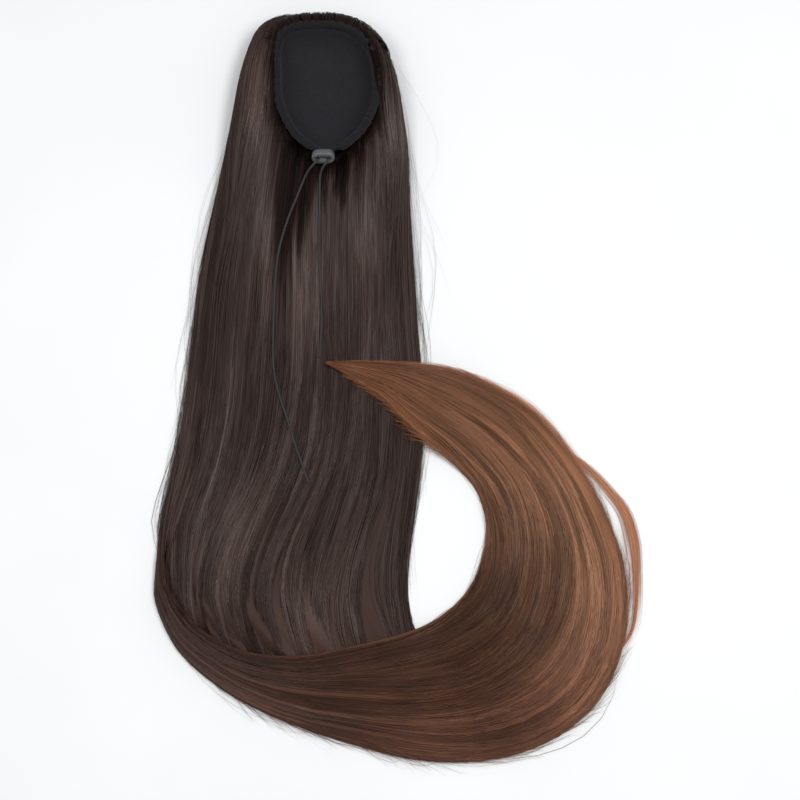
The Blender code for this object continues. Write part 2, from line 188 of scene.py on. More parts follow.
# %% Helpers for materials
class Finish:
    """A material's node tree with a Principled BSDF, and short ways to add nodes to it."""

    def __init__(self, name):
        self.material = bpy.data.materials.new(name)
        self.material.use_nodes = True
        self.tree = self.material.node_tree
        self.shader = self.tree.nodes["Principled BSDF"]

    def node(self, kind, inputs=None, **settings):
        made = self.tree.nodes.new(kind)
        for key, value in settings.items():
            setattr(made, key, value)
        for key, value in (inputs or {}).items():
            self.feed(made.inputs[key], value)
        return made

    def feed(self, socket, value):
        """Links an output to the socket, or sets the socket's own value."""
        if isinstance(value, bpy.types.NodeSocket):
            self.tree.links.new(value, socket)
        else:
            socket.default_value = value

    def set(self, **sockets):
        for key, value in sockets.items():
            self.feed(self.shader.inputs[key.replace("_", " ")], value)

    def maths(self, operation, first, second=0.0):
        return self.node("ShaderNodeMath", {0: first, 1: second}, operation=operation).outputs[0]

    def remap(self, value, low, high, new_low, new_high):
        inputs = {"Value": value, "From Min": low, "From Max": high, "To Min": new_low, "To Max": new_high}
        return self.node("ShaderNodeMapRange", inputs).outputs[0]

    def noise(self, vector, scale, detail=2.0, stretch=None):
        if stretch is not None:
            vector = self.node("ShaderNodeMapping", {"Vector": vector, "Scale": stretch}).outputs[0]
        inputs = {"Vector": vector, "Scale": scale, "Detail": detail}
        return self.node("ShaderNodeTexNoise", inputs).outputs[0]

    def along(self):
        return self.node("ShaderNodeUVMap", uv_map="along").outputs[0]

    def place(self):
        return self.node("ShaderNodeTexCoord").outputs["Object"]

    def value(self, name):
        return self.node("ShaderNodeAttribute", attribute_name=name).outputs["Fac"]

    def ramp(self, factor, stops):
        ramp = self.node("ShaderNodeValToRGB", {"Fac": factor})
        elements = ramp.color_ramp.elements
        while len(elements) < len(stops):
            elements.new(0.5)
        for element, (position, colour) in zip(elements, stops):
            element.position = position
            element.color = (*colour, 1.0)
        return ramp.outputs[0]

    def times(self, colour, factor):
        inputs = {0: colour, "Scale": factor}
        return self.node("ShaderNodeVectorMath", inputs, operation="SCALE").outputs[0]

    def bump(self, height, distance, strength=1.0):
        inputs = {"Height": height, "Distance": distance, "Strength": strength}
        return self.node("ShaderNodeBump", inputs).outputs[0]


# %% [markdown]
# The drawstring's two free ends are thin braided cords. Their routes are those of the solid model, so they
# come first: each leaves a hole of the cord lock, drops to the hair and lies along it to a bare end. The
# tube's radius swells where the braid's threads cross, once to the left and once to the right.

# %% The drawstring
CORD_DIAMETER = 1.7
BRAID_SIDES = 12
BRAID_STEP = 0.5
BRAID_PITCH = 3.2
BRAID_RELIEF = 0.045
LEFT_ROUTE = (
    (-61.9, 170.1, 37.0),
    (-62.2, 167.4, 38.6),
    (-64.4, 164.4, 39.0),
    (-67.6, 161.1, 37.4),
    (-70.8, 157.5, 33.6),
    (-73.0, 153.3, 31.1),
    (-76.0, 146.5, 28.9),
    (-80.0, 137.2, 26.4),
    (-84.0, 127.5, 25.0),
    (-89.3, 111.0, 23.7),
    (-92.9, 95.0, 22.4),
    (-95.0, 75.0, 21.3),
    (-95.7, 52.0, 20.2),
    (-96.0, 28.0, 19.2),
    (-95.4, 3.0, 18.3),
    (-90.9, -17.0, 17.2),
    (-83.9, -38.0, 17.4),
    (-78.0, -57.0, 16.9),
    (-71.8, -74.0, 16.3),
    (-67.2, -86.5, 16.1),
)
RIGHT_ROUTE = (
    (-53.3, 170.1, 37.0),
    (-53.5, 167.4, 38.6),
    (-55.3, 164.5, 39.0),
    (-57.9, 161.3, 37.5),
    (-59.8, 157.3, 33.2),
    (-60.3, 152.5, 30.5),
    (-60.4, 145.5, 28.4),
    (-60.4, 136.3, 26.5),
    (-60.6, 126.0, 25.4),
    (-60.9, 114.0, 24.2),
    (-60.9, 101.0, 23.2),
    (-60.3, 87.0, 22.3),
    (-59.5, 73.0, 21.6),
    (-58.7, 60.0, 21.0),
    (-58.3, 47.0, 20.5),
    (-58.6, 35.0, 20.0),
    (-59.2, 23.0, 19.5),
    (-59.5, 12.5, 19.0),
)


def even_route(route, step):
    """Points a step apart on the smooth curve through the route, and the curve's length."""
    fine = read_rows(route, np.linspace(0, len(route) - 1, 60 * len(route)))
    length = distance_along(fine)
    place = np.linspace(0, length[-1], int(length[-1] / step) + 1)
    return np.column_stack([np.interp(place, length, fine[:, axis]) for axis in range(3)]), length[-1]


def tube(name, path, radius, sides, material):
    """A tube round a path: each ring lies across the path, at the radius that the array gives for it. The
    ends close in a fan to the path's own end points."""
    run = unit(np.gradient(path, axis=0))
    side = unit(np.cross(run, np.array([0.0, 0.0, 1.0])))
    up = np.cross(side, run)
    turn = full_turn(sides)
    ring = side[:, None] * np.cos(turn)[None, :, None] + up[:, None] * np.sin(turn)[None, :, None]
    points = (path[:, None] + ring * radius[..., None]).reshape(-1, 3)
    row, column, quads = wrapped_grid(len(path), sides)
    corner_map = np.stack([column / sides, distance_along(path)[row] * MM], axis=-1)
    points = np.concatenate([points, path[:1], path[-1:]])
    return put_mesh(name, points * MM, quads, end_fans(len(path), sides), corner_map, material=material)


def cord_finish():
    """Dark braided cord: painted highlights on the braid's crossing threads and painted shade, black, in the
    hollows between them.
    """
    finish = Finish("braided_cord")
    along = finish.along()
    threads = finish.noise(along, 1.0, 1.0, (14.0, 2600.0, 1.0))
    # Painted highlight and shade: the thread pattern lightens the crossing threads and blackens the hollows.
    colour = finish.ramp(threads, ((0.30, (0.006, 0.006, 0.006)), (0.75, (0.026, 0.025, 0.025))))
    finish.set(Base_Color=colour, Roughness=0.62, Normal=finish.bump(threads, 0.0001))
    finish.set(Sheen_Weight=0.15, Sheen_Roughness=0.4)
    return finish.material


def braid_radius(count):
    """Half the cord's diameter, raised where left-hand and right-hand spirals of threads cross."""
    turn = full_turn(BRAID_SIDES)
    forward = np.arange(count)[:, None] * BRAID_STEP * 2 * math.pi / BRAID_PITCH
    crossing = np.cos(2 * turn + forward) * np.cos(2 * turn - forward)
    return CORD_DIAMETER / 2 * (1 + BRAID_RELIEF * crossing)


braided_cord = cord_finish()
for side_name, route in (("left", LEFT_ROUTE), ("right", RIGHT_ROUTE)):
    path, cord_length = even_route(route, BRAID_STEP)
    cord = tube(f"drawstring_{side_name}_braid", path, braid_radius(len(path)), BRAID_SIDES, braided_cord)
    hand_over(cord, f"drawstring_{side_name}")
    print("drawstring", side_name, round(cord_length, 1), "mm")

# %% [markdown]
# The mouth of the cap is a rounded teardrop. One function gives its outline, set out by any distance, and
# another tells how far outside it a point lies, which the hair needs so that it can start under the rim.

# %% The mouth of the cap
MOUTH_X = -54.8
MOUTH_Y = 229.0
MOUTH_HALF_WIDTH = 39.0
MOUTH_UP = 52.0
MOUTH_DOWN = 52.5
MOUTH_LEAN = 8.0
BLUNT_TOP = (4.0, 0.38)
POINTED_FOOT = (1.7, 0.6)
MOUTH = np.array([MOUTH_X, MOUTH_Y])
OUTLINE_POINTS = 720


def mouth_outline(offset, count, skip=0.0):
    """Points round the mouth from its foot, up the left side and down the right, evenly spaced and set out
    by offset. Half the width falls off as (1 - up**a)**b, with one pair of powers above and one below.
    skip is left out at both ends, where the casing is open."""
    angle = np.linspace(-math.pi, math.pi, 2881)
    up = np.cos(angle)
    power = np.where(up > 0, BLUNT_TOP[0], POINTED_FOOT[0])
    root = np.where(up > 0, BLUNT_TOP[1], POINTED_FOOT[1])
    half = MOUTH_HALF_WIDTH * np.clip(1 - np.abs(up) ** power, 0, 1) ** root
    x = MOUTH_X - MOUTH_LEAN * np.maximum(up, 0) ** 2 + np.sign(np.sin(angle)) * half
    y = MOUTH_Y + np.where(up > 0, MOUTH_UP, MOUTH_DOWN) * up
    run = unit(np.gradient(np.stack([x, y], axis=1), axis=0))
    x = x - run[:, 1] * offset
    y = y + run[:, 0] * offset
    length = distance_along(np.stack([x, y], axis=1))
    place = np.linspace(skip, length[-1] - skip, count, endpoint=skip > 0)
    return np.stack([np.interp(place, length, x), np.interp(place, length, y)], axis=1)


outline = mouth_outline(0, OUTLINE_POINTS)
outline_angle = np.arctan2(outline[:, 1] - MOUTH_Y, outline[:, 0] - MOUTH_X)
by_angle = np.argsort(outline_angle)
outline_angle = outline_angle[by_angle]
outline_radius = np.hypot(*(outline - MOUTH).T)[by_angle]


def beyond_mouth(x, y):
    """How far a point lies outside the mouth, along the line from the mouth's middle: negative inside."""
    angle = np.arctan2(y - MOUTH_Y, x - MOUTH_X)
    edge = np.interp(angle, outline_angle, outline_radius, period=2 * math.pi)
    return np.hypot(x - MOUTH_X, y - MOUTH_Y) - edge


# %% [markdown]
# The cap itself is a cup of black stretch cloth. Its wall is one profile, from the middle of the outside up
# to the rim, over it and down the inside, carried round the mouth. Near the rim the cloth is drawn into
# small gathers, which fade out down the wall, and the bottom keeps a few soft wrinkles.

# %% The cloth of the cap
CLOTH = 1.5
CUP_BOTTOM = 7.0
CUP_RIM = 33.0
CUP_SQUARENESS = 2.4
CUP_COLUMNS = 288
CUP_ROWS = 20
GATHERS = 44
GATHER_DEPTH = 0.75
WRINKLE_DEPTH = 0.6
WRINKLE_LENGTH = 60.0
RIM_ROUNDING = 0.35
CLOTH_ROUGHNESS = 0.85


def cloth_finish(name, colour):
    """Black knitted cloth: fine crossed ribs in the bump, a soft fuzz that catches light at the edges."""
    finish = Finish(name)
    place = finish.place()
    ribs = finish.noise(place, 900.0, 2.0, (1.0, 0.45, 1.0))
    fuzz = finish.noise(place, 60.0, 3.0)
    weave = finish.maths("ADD", finish.maths("MULTIPLY", ribs, 0.7), finish.maths("MULTIPLY", fuzz, 0.5))
    dark = tuple(0.55 * part for part in colour)
    finish.set(Base_Color=finish.ramp(weave, ((0.35, dark), (0.85, colour))))
    finish.set(Roughness=finish.remap(fuzz, 0.3, 0.7, CLOTH_ROUGHNESS - 0.08, CLOTH_ROUGHNESS + 0.08))
    finish.set(Sheen_Weight=0.12, Sheen_Roughness=0.5, Sheen_Tint=(0.6, 0.6, 0.7, 1.0))
    finish.set(Specular_IOR_Level=0.25, Normal=finish.bump(ribs, 0.00025, 0.7))
    return finish.material


def gather_wave(turn):
    """Uneven gathers round the mouth: one wave for each, with slower waves that crowd and spread them."""
    crowded = turn + 0.004 * np.sin(14 * math.pi * turn) + 0.003 * np.sin(34 * math.pi * turn + 1.0)
    strength = 0.75 + 0.25 * np.sin(18 * math.pi * turn + 2.0)
    return strength * np.sin(2 * math.pi * GATHERS * crowded)


def cup_wall(set_in):
    """Rings of the cup's wall from its rim to near its middle. A ring shrinks as cos(t)**(2/n) and drops as
    sin(t)**(2/n), so that a squareness n above 2 gives steep sides and a flat bottom."""
    rim = mouth_outline(-set_in, CUP_COLUMNS)
    turn = np.arange(CUP_COLUMNS) / CUP_COLUMNS
    t = math.pi / 2 * np.linspace(0, 1, CUP_ROWS, endpoint=False)[:, None]
    inward = np.cos(t) ** (2 / CUP_SQUARENESS)
    down = np.sin(t) ** (2 / CUP_SQUARENESS)
    depth = CUP_RIM - CUP_BOTTOM - set_in
    gather = GATHER_DEPTH * gather_wave(turn) * np.exp(-3.5 * down)
    outward = unit(rim - MOUTH)
    flat = MOUTH + (rim - MOUTH) * inward[..., None] + outward * np.minimum(gather, 0)[..., None]
    x, y = np.moveaxis(flat / WRINKLE_LENGTH, -1, 0)
    wrinkle = WRINKLE_DEPTH * drift(x, y, 5, 1.6, 1.6) * smoothstep(0.55, 1.0, down)
    height = CUP_RIM - depth * down + wrinkle
    return np.concatenate([flat, height[..., None]], axis=-1)


def make_cap():
    outer = cup_wall(0.0)
    inner = cup_wall(CLOTH)
    top = (outer[0] + inner[0]) / 2 + np.array([0, 0, RIM_ROUNDING])
    rings = np.concatenate([outer[::-1], top[None], inner])
    _, _, quads = wrapped_grid(len(rings), CUP_COLUMNS)
    poles = np.array([[MOUTH_X, MOUTH_Y, CUP_BOTTOM], [MOUTH_X, MOUTH_Y, CUP_BOTTOM + CLOTH]])
    points = np.concatenate([rings.reshape(-1, 3), poles]) * MM
    black_knit = cloth_finish("black_knit", (0.019, 0.0185, 0.0225))
    cap = put_mesh("cap_cloth", points, quads, end_fans(len(rings), CUP_COLUMNS), material=black_knit)
    turn_outwards(cap)
    hand_over(cap, "cap")


def turn_outwards(obj):
    """Turns every face of a closed mesh so that it looks out."""
    body = bmesh.new()
    body.from_mesh(obj.data)
    bmesh.ops.recalc_face_normals(body, faces=body.faces)
    body.to_mesh(obj.data)
    body.free()


make_cap()
print("cap wall", CLOTH, "mm, depth", CUP_RIM - CUP_BOTTOM, "mm")

# %% [markdown]
# Round the mouth runs a casing, a soft roll of the same cloth with the drawstring inside; its colour is made
# darker than the cap's as painted shade. The string has drawn it into gathers, so its radius rises and falls
# along its length, more on its upper side, and it wanders a little in and out. It is open at the foot of the
# mouth, where the string comes out.

# %% The gathered casing
CASING_RADIUS = 3.0
CASING_OUT = 1.6
CASING_HALF_OPENING = 8.8
CASING_MIDDLE = 36.63
CASING_STEPS = 640
CASING_SIDES = 16
CASING_SWAY = 0.35
CASING_FOLD = 0.13
CASING_CRINKLE = 0.06


def make_casing():
    """A tube along the mouth of radius r * (1 + fold + crinkle), which narrows to nothing at its ends."""
    path = mouth_outline(CASING_OUT, CASING_STEPS, CASING_HALF_OPENING)
    turn = np.linspace(0, 1, CASING_STEPS)
    sway = CASING_SWAY * drift(turn, 0 * turn, 11, 9, 1)
    outward = unit(path - MOUTH)
    path = path + outward * sway[:, None]
    height = CASING_MIDDLE - 0.25 + 0.25 * drift(turn, 0 * turn, 12, 12, 1)
    path = np.column_stack([path, height])
    around = full_turn(CASING_SIDES)
    fold = gather_wave(turn)[:, None]
    crinkle = drift(turn[:, None] * 3, around[None] / 7, 13, 60, 1)
    on_top = 0.7 + 0.3 * np.sin(around)
    radius = CASING_RADIUS * (1 + CASING_FOLD * fold * on_top + CASING_CRINKLE * crinkle)
    closing = np.sqrt(np.clip(np.minimum(turn, 1 - turn) * 60, 0.02, 1))
    radius = radius * closing[:, None]
    # The casing's knit is a darker copy of the cap's knit: painted shade.
    painted_shade_knit = cloth_finish("painted_shade_knit", (0.0085, 0.008, 0.0095))
    casing = tube("rim_casing_gathers", path, radius, CASING_SIDES, painted_shade_knit)
    turn_outwards(casing)
    hand_over(casing, "rim_casing")


make_casing()
print("casing gathers", GATHERS)

# %% [markdown]
# The cord lock is a small moulded button with two holes. Its solid already has the right shape, so a merged
# copy of it is rounded by shading, and the plastic gets a fine grain.

# %% The cord lock
MERGE_DISTANCE = 0.00002
SHARP_ANGLE = math.radians(50)


def plastic_finish():
    """Dark grey moulded plastic, half glossy, with a fine grain."""
    finish = Finish("moulded_plastic")
    grain = finish.noise(finish.place(), 1400.0, 3.0)
    finish.set(Base_Color=finish.ramp(grain, ((0.3, (0.070, 0.071, 0.074)), (0.8, (0.125, 0.127, 0.132)))))
    finish.set(Roughness=finish.remap(grain, 0.3, 0.7, 0.26, 0.38))
    finish.set(Specular_IOR_Level=0.6, Normal=finish.bump(grain, 0.00006))
    return finish.material


def make_cord_lock():
    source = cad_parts["cord_lock"]
    body = bmesh.new()
    body.from_mesh(source.data)
    bmesh.ops.remove_doubles(body, verts=body.verts, dist=MERGE_DISTANCE)
    mesh = bpy.data.meshes.new("cord_lock_button")
    body.to_mesh(mesh)
    body.free()
    mesh.shade_smooth()
    mesh.set_sharp_from_angle(angle=SHARP_ANGLE)
    mesh.materials.clear()
    mesh.materials.append(plastic_finish())
    lock = bpy.data.objects.new("cord_lock_button", mesh)
    bpy.context.scene.collection.objects.link(lock)
    hand_over(lock, "cord_lock")
    print("cord lock faces", len(mesh.polygons))


make_cord_lock()

# %% [markdown]
# The fall is the long straight hair that is sewn round the outside of the cup and combed down over the
# table. A short table gives its sides, its height and how boxy its section is. Its form is told as a height
# above each point of the table, so that the body and the strands can follow it, each in lanes of its own.

# %% The shape of the fall
FALL = (
    (297.5, -83, -44, 22.0, 0.15),
    (295.0, -98, -36, 31.0, 0.15),
    (286.0, -111, -23, 36.0, 0.14),
    (272.0, -118, -10, 37.5, 0.13),
    (247.0, -125, -1, 38.0, 0.13),
    (213.0, -131, 5, 37.5, 0.15),
    (179.0, -138, 9, 32.0, 0.22),
    (146.0, -145, 10, 27.0, 0.32),
    (96.0, -154, 13, 22.0, 0.40),
    (38.0, -160, 17, 19.0, 0.46),
    (-18.0, -165, 21, 17.0, 0.48),
    (-66.0, -172, 19, 15.5, 0.48),
    (-113.0, -182, 13, 14.0, 0.46),
    (-144.0, -182, 9, 12.5, 0.42),
    (-175.0, -172, 7, 11.0, 0.38),
    (-206.0, -150, 18, 9.0, 0.35),
    (-236.0, -118, 24, 7.0, 0.30),
    (-258.0, -76, 14, 4.5, 0.30),
)
FALL_TOP = 297.5
FALL_FOOT = -258.0
FALL_LOCKS = np.array([0.0, 0.10, 0.21, 0.30, 0.42, 0.53, 0.62, 0.74, 0.86, 1.0])
FALL_GROOVE = 1.6
FALL_SWAY = 0.18
SWAY_Y = -178.0
EDGE_SHARE = 0.12
ROOT_DEPTH = 33.2
ROOT_SLOPE = 0.85
DRIFT_LENGTH = 500.0
RIPPLE = 0.5

fall_fine = np.linspace(0, len(FALL) - 1, 1200)
fall_fine_y = read_rows(FALL, fall_fine)[:, 0]


def fall_section(y):
    """The left side, the right side, the crest and the fullness of the fall's section at y."""
    row = read_rows(FALL, np.interp(-y, -fall_fine_y, fall_fine))
    return np.moveaxis(row[..., 1:], -1, 0)


def edge_spread(across, fullness):
    """Maps 0 to 1 across onto the section so that the steep sides get their share: near an edge the
    distance goes as a power, and elsewhere it is left as it is."""
    low = np.clip(across / EDGE_SHARE, 0, 1) ** (1 / fullness) * EDGE_SHARE
    high = 1 - np.clip((1 - across) / EDGE_SHARE, 0, 1) ** (1 / fullness) * EDGE_SHARE
    return np.where(across < EDGE_SHARE, low, np.where(across > 1 - EDGE_SHARE, high, across))


def lock_groove(lane, edges):
    """0 along the middle of each lock and 1 in the groove between two."""
    lock = np.clip(np.searchsorted(edges, lane, side="right") - 1, 0, len(edges) - 2)
    middle = (edges[lock] + edges[lock + 1]) / 2
    half = (edges[lock + 1] - edges[lock]) / 2
    return np.clip(np.abs(lane - middle) / half, 0, 1) ** 1.5


def fall_height(x, y, lane):
    """The fall's height above a point of the table: crest * sin(pi * fraction)**fullness between its two
    sides, less the groove between two locks. Next to the mouth it dips under the casing."""
    left, right, crest, fullness = fall_section(y)
    arch = np.clip(np.sin(math.pi * np.clip((x - left) / (right - left), 0, 1)), 0, 1)
    groove = lock_groove(lane, FALL_LOCKS) * FALL_GROOVE * np.clip(crest / 15, 0.3, 1)
    ripple = RIPPLE * drift(lane, y / DRIFT_LENGTH, 21, 5, 7)
    ripple = ripple * np.clip(2 * arch, 0, 1) * smoothstep(240, 120, y)
    z = crest * arch**fullness + ripple - groove * np.clip(3 * arch, 0, 1)
    return np.minimum(z, ROOT_DEPTH + ROOT_SLOPE * np.clip(beyond_mouth(x, y) - 4, 0, None))


def fall_point(across, y):
    """A point on the fall, straight across between its sides, in lanes that sway to the left at the foot."""
    left, right, _, fullness = fall_section(y)
    lane = edge_spread(np.clip(across, 0, 1), fullness)
    sway = FALL_SWAY * np.exp(-(((y - SWAY_Y) / 70) ** 2)) * np.sin(math.pi * lane)
    x = left + (right - left) * (lane - sway)
    return np.stack([x, y + 0 * x, fall_height(x, y, lane)], axis=-1)


# %% [markdown]
# Hair is drawn at three scales. A body, one closed shape a little under the surface, keeps light from
# passing through. Over it lie locks, each a rounded bundle that is a little higher or lighter than its
# neighbours and draws together towards its end. Each lock is made of strands: thin closed slivers with
# three sides, which rise out of the body and follow the flow. Chance values come from seeded generators, so
# every run draws the same hair.

# %% How strands and locks are built
STRAND_RING = np.array([[-0.5, -0.07], [0.5, -0.07], [0.0, 0.17]])
STRAND_WIDTH = 0.46
WIDEST_STRAND = 0.9
STRAND_SPREAD = 0.35
STRAND_ROLL = 0.30
STRAND_TIP = 0.4
STRAND_VALUES = ("path", "side", "up", "width", "roll", "chance", "tone", "light")
LANE_STEP = 0.004
LOWEST_PATH = 0.5
MAP_WIDTH = 0.004
MAP_SPREAD = 37.0
WAVE_LENGTH = 120.0
WAVE_HEIGHT = 0.30
BODY_DEPTH = 0.45


def frames_along(path, across):
    """Two unit vectors at each point of many paths: to the side, and up from the surface. across points
    over the surface, and up is at right angles to it and to the path."""
    run = unit(np.gradient(path, axis=1))
    up = unit(np.cross(run, across))
    return np.cross(run, up), up


def make_strands(name, hair, groups):
    """Closed three-sided strands round many paths at once. hair is a slot and its material, and a group
    holds path, side and up as N by K by 3, width, tone and light as N by K, roll and chance as N."""
    whole = {key: np.concatenate([group[key] for group in groups]) for key in STRAND_VALUES}
    path, chance = whole["path"], whole["chance"]
    count, steps = path.shape[:2]
    turn = whole["roll"][:, None, None]
    side = np.cos(turn) * whole["side"] + np.sin(turn) * whole["up"]
    up = np.cos(turn) * whole["up"] - np.sin(turn) * whole["side"]
    ring = STRAND_RING * whole["width"][..., None, None]
    points = path[:, :, None] + side[:, :, None] * ring[..., :1] + up[:, :, None] * ring[..., 1:]
    row, column, faces = wrapped_grid(steps, 3)
    first = np.arange(count)[:, None, None] * steps * 3
    quads = (first + faces).reshape(-1, 4)
    ends = np.array([[0, 1, 2], [2, 1, 0]])
    ends[1] += (steps - 1) * 3
    triangles = (first + ends).reshape(-1, 3)
    v = distance_along(path)[:, row] * MM
    u = chance[:, None, None] * MAP_SPREAD + column / 3 * MAP_WIDTH + 0 * v
    corner_map = np.stack([u, v], axis=-1)
    values = {key: np.repeat(whole[key][..., None], 3, axis=2) for key in ("tone", "light")}
    values["chance"] = np.tile(chance[:, None, None], (1, steps, 3))
    slot, material = hair
    obj = put_mesh(name, points.reshape(-1, 3) * MM, quads, triangles, corner_map, values, material)
    hand_over(obj)
    print(name, count, "strands,", 2 * len(quads) + len(triangles), "triangles")


def span(start, end, t):
    """From each start to its end as t goes from 0 to 1, in a row for each strand."""
    return start[:, None] + (end - start)[:, None] * t


def uneven(chance, spread, count):
    """Factors round 1, as exp(spread * a normal value)."""
    return np.exp(spread * chance.standard_normal(count))


def strand_taper(steps, tip):
    """Width along a strand: it swells from its root and thins over the last part, tip long, to a point."""
    t = np.linspace(0, 1, steps)
    return np.clip(0.25 + t / 0.10, 0, 1) * np.clip((1.03 - t) / tip, 0, 1) ** 0.7


def choose_locks(chance, count, narrow, wide):
    """Chance values for locks. half is half a lock's width as a share of the whole width, rise is how high
    it lies in mm, light is its brightness and shade its place between its lighter and darker neighbours."""
    return {
        "centre": (chance.permutation(count) + chance.uniform(0, 1, count)) / count,
        "half": chance.uniform(narrow, wide, count),
        "rise": chance.uniform(-0.45, 0.7, count),
        "light": uneven(chance, 0.16, count),
        "shade": chance.uniform(0, 1, count),
        "phase": chance.uniform(0, 2 * math.pi, count),
    }


def deal_strands(chance, lock_count, count):
    """A lock for each strand, and its offset from the lock's middle, from -1 to 1 and mostly small."""
    lock = chance.integers(0, lock_count, count)
    return lock, np.clip(0.55 * chance.standard_normal(count), -1, 1)


def comb(surface, locks, lock, offset, start, end, steps, chance, crown, full_width, crowd=1.0):
    """Strands of many locks laid on a surface. A strand keeps its offset from the lock's middle, which
    shrinks towards the end. Its height follows the lock's round back: crown * (1 - offset**2). A crowd
    above 1 sets the steps closer together near the root, as t**crowd."""
    even = np.linspace(0, 1, steps)
    t = even**crowd
    place = span(start, end, t)
    draw = 1 - 0.55 * smoothstep(0.25, 1.0, t)
    across = (locks["centre"][lock] + 0 * offset)[:, None] + (locks["half"][lock] * offset)[:, None] * draw
    across = np.clip(across, 0.002, 0.998)
    path = surface(across, place)
    beside = surface(across + LANE_STEP, place) - surface(across - LANE_STEP, place)
    side, up = frames_along(path, beside)
    own = locks["rise"][lock] + crown * (1 - offset**2) - 0.4 * chance.uniform(0, 1, len(lock)) ** 2
    wave = WAVE_HEIGHT * np.sin(2 * math.pi * place / WAVE_LENGTH + locks["phase"][lock][:, None])
    float_up = smoothstep(-0.02, 0.10, even) * (1 - 0.45 * smoothstep(0.75, 1.0, t))
    sunk = -BODY_DEPTH - 0.2
    path = path + up * (sunk + (own[:, None] + wave - sunk) * float_up)[..., None]
    path[..., 2] = np.maximum(path[..., 2], LOWEST_PATH)
    lean = 2 * crown * offset / (locks["half"][lock] * full_width)
    width = np.minimum(STRAND_WIDTH * uneven(chance, STRAND_SPREAD, len(lock)), WIDEST_STRAND)
    return {
        "path": path,
        "side": side,
        "up": up,
        "width": width[:, None] * strand_taper(steps, STRAND_TIP),
        "roll": np.arctan(lean) + chance.normal(0, STRAND_ROLL, len(lock)),
        "chance": np.clip(0.55 * locks["shade"][lock] + 0.45 * chance.uniform(0, 1, len(lock)), 0, 1),
        "across": across,
        "place": place,
    }


# %% [markdown]
# The hair's finish is one recipe. Each point knows how far down the hair it is, and the colour goes with that
# from dark brown to copper. A strand's chance value moves it a little along the scale, so that the change is
# ragged, as in dyed hair. A light value raises the colour and the gloss together; it carries painted sheen,
# where hair lies at the right slope to shine, painted shade, and each lock's own brightness. Hair shines in a
# narrow band across its length, so the gloss is drawn out sideways: the UV map has its first axis across the
# strand, and the Tangent node reads it from there.

# %% The finish of the hair
HAIR_STOPS = (
    (0.00, (0.036, 0.0205, 0.0165)),
    (0.22, (0.037, 0.0190, 0.0150)),
    (0.40, (0.041, 0.0205, 0.0155)),
    (0.52, (0.050, 0.0240, 0.0170)),
    (0.60, (0.080, 0.0330, 0.0210)),
    (0.68, (0.125, 0.0520, 0.0290)),
    (0.78, (0.200, 0.0900, 0.0460)),
    (0.90, (0.215, 0.0900, 0.0440)),
    (1.00, (0.160, 0.0620, 0.0320)),
)


def hair_finish(name, brightness, streak_scale, dull, glossy):
    """Hair whose colour is the ramp at tone + chance, times its light. Its gloss goes from dull to glossy."""
    finish = Finish(name)
    along = finish.along()
    chance = finish.value("chance")
    streak = finish.noise(along, 1.0, 3.0, (streak_scale, 14.0, 1.0))
    slow = finish.noise(finish.place(), 28.0, 2.0)
    own_shift = finish.remap(chance, 0, 1, -0.05, 0.05)
    shift = finish.maths("ADD", own_shift, finish.remap(slow, 0.2, 0.8, -0.03, 0.03))
    colour = finish.ramp(finish.maths("ADD", finish.value("tone"), shift), HAIR_STOPS)
    streaks = finish.remap(streak, 0.3, 0.7, 0.84, 1.16)
    lit = finish.value("light")
    light = finish.maths("MULTIPLY", streaks, finish.remap(chance, 0, 1, 0.85, 1.15))
    light = finish.maths("MULTIPLY", light, lit)
    finish.set(Base_Color=finish.times(colour, finish.maths("MULTIPLY", light, brightness)))
    finish.set(Roughness=finish.remap(streak, 0.3, 0.7, 0.30, 0.44))
    finish.set(Anisotropic=0.75, Specular_IOR_Level=finish.remap(lit, 0.5, 1.6, dull, glossy))
    finish.set(Tangent=finish.node("ShaderNodeTangent", direction_type="UV_MAP", uv_map="along").outputs[0])
    finish.set(Normal=finish.bump(streak, 0.00012, 0.6))
    return finish.material


dark_strands = ("dark_hair", hair_finish("dark_strands", 1.2, 900.0, 0.05, 0.58))
copper_strands = ("copper_hair", hair_finish("copper_strands", 1.2, 900.0, 0.16, 0.26))
body_hair = hair_finish("body_hair", 1.1, 1400.0, 0.04, 0.15)
print("hair colours", len(HAIR_STOPS))

# %% [markdown]
# The body of the fall is a closed loft: for each section a ring runs over the top from the left side to the
# right and back along the table. It lies half a millimetre under the surface that the strands follow. Below
# the cord lock the hair parts, and painted shade makes the hair between the two halves near black; painted
# shade also darkens it next to the casing. Where the painted sheen lies is a maker's choice: a few soft
# patches are brighter than the rest.

# %% The body of the fall
FLOOR_CLEARANCE = 0.3
LOWEST_TOP = 0.9
REACH_LENGTH = 1120.0
PARTING_Y = (60, 90, 120, 140, 160, 178)
PARTING_X = (-85, -84, -82, -79, -68, -60)
PARTING_HALF = (4, 9, 13, 18, 27, 33)
# How much painted shade darkens the parting and the hair next to the casing.
PARTING_PAINTED_SHADE = 0.72
RIM_PAINTED_SHADE = 0.70
DULL = 0.84
# Soft patches of painted sheen: middle x and y, half width and half length in mm, and gain.
PAINTED_SHEEN_PATCHES = (
    (-112, 228, 9, 48, 1.10),
    (-1, 206, 9, 48, 0.60),
    (-106, 108, 10, 42, 0.70),
    (-72, 74, 12, 42, 0.60),
    (-33, 100, 20, 38, 0.55),
    (-5, 15, 14, 32, 0.40),
    (-128, -122, 28, 40, 0.50),
    (-66, -185, 22, 34, 0.50),
)


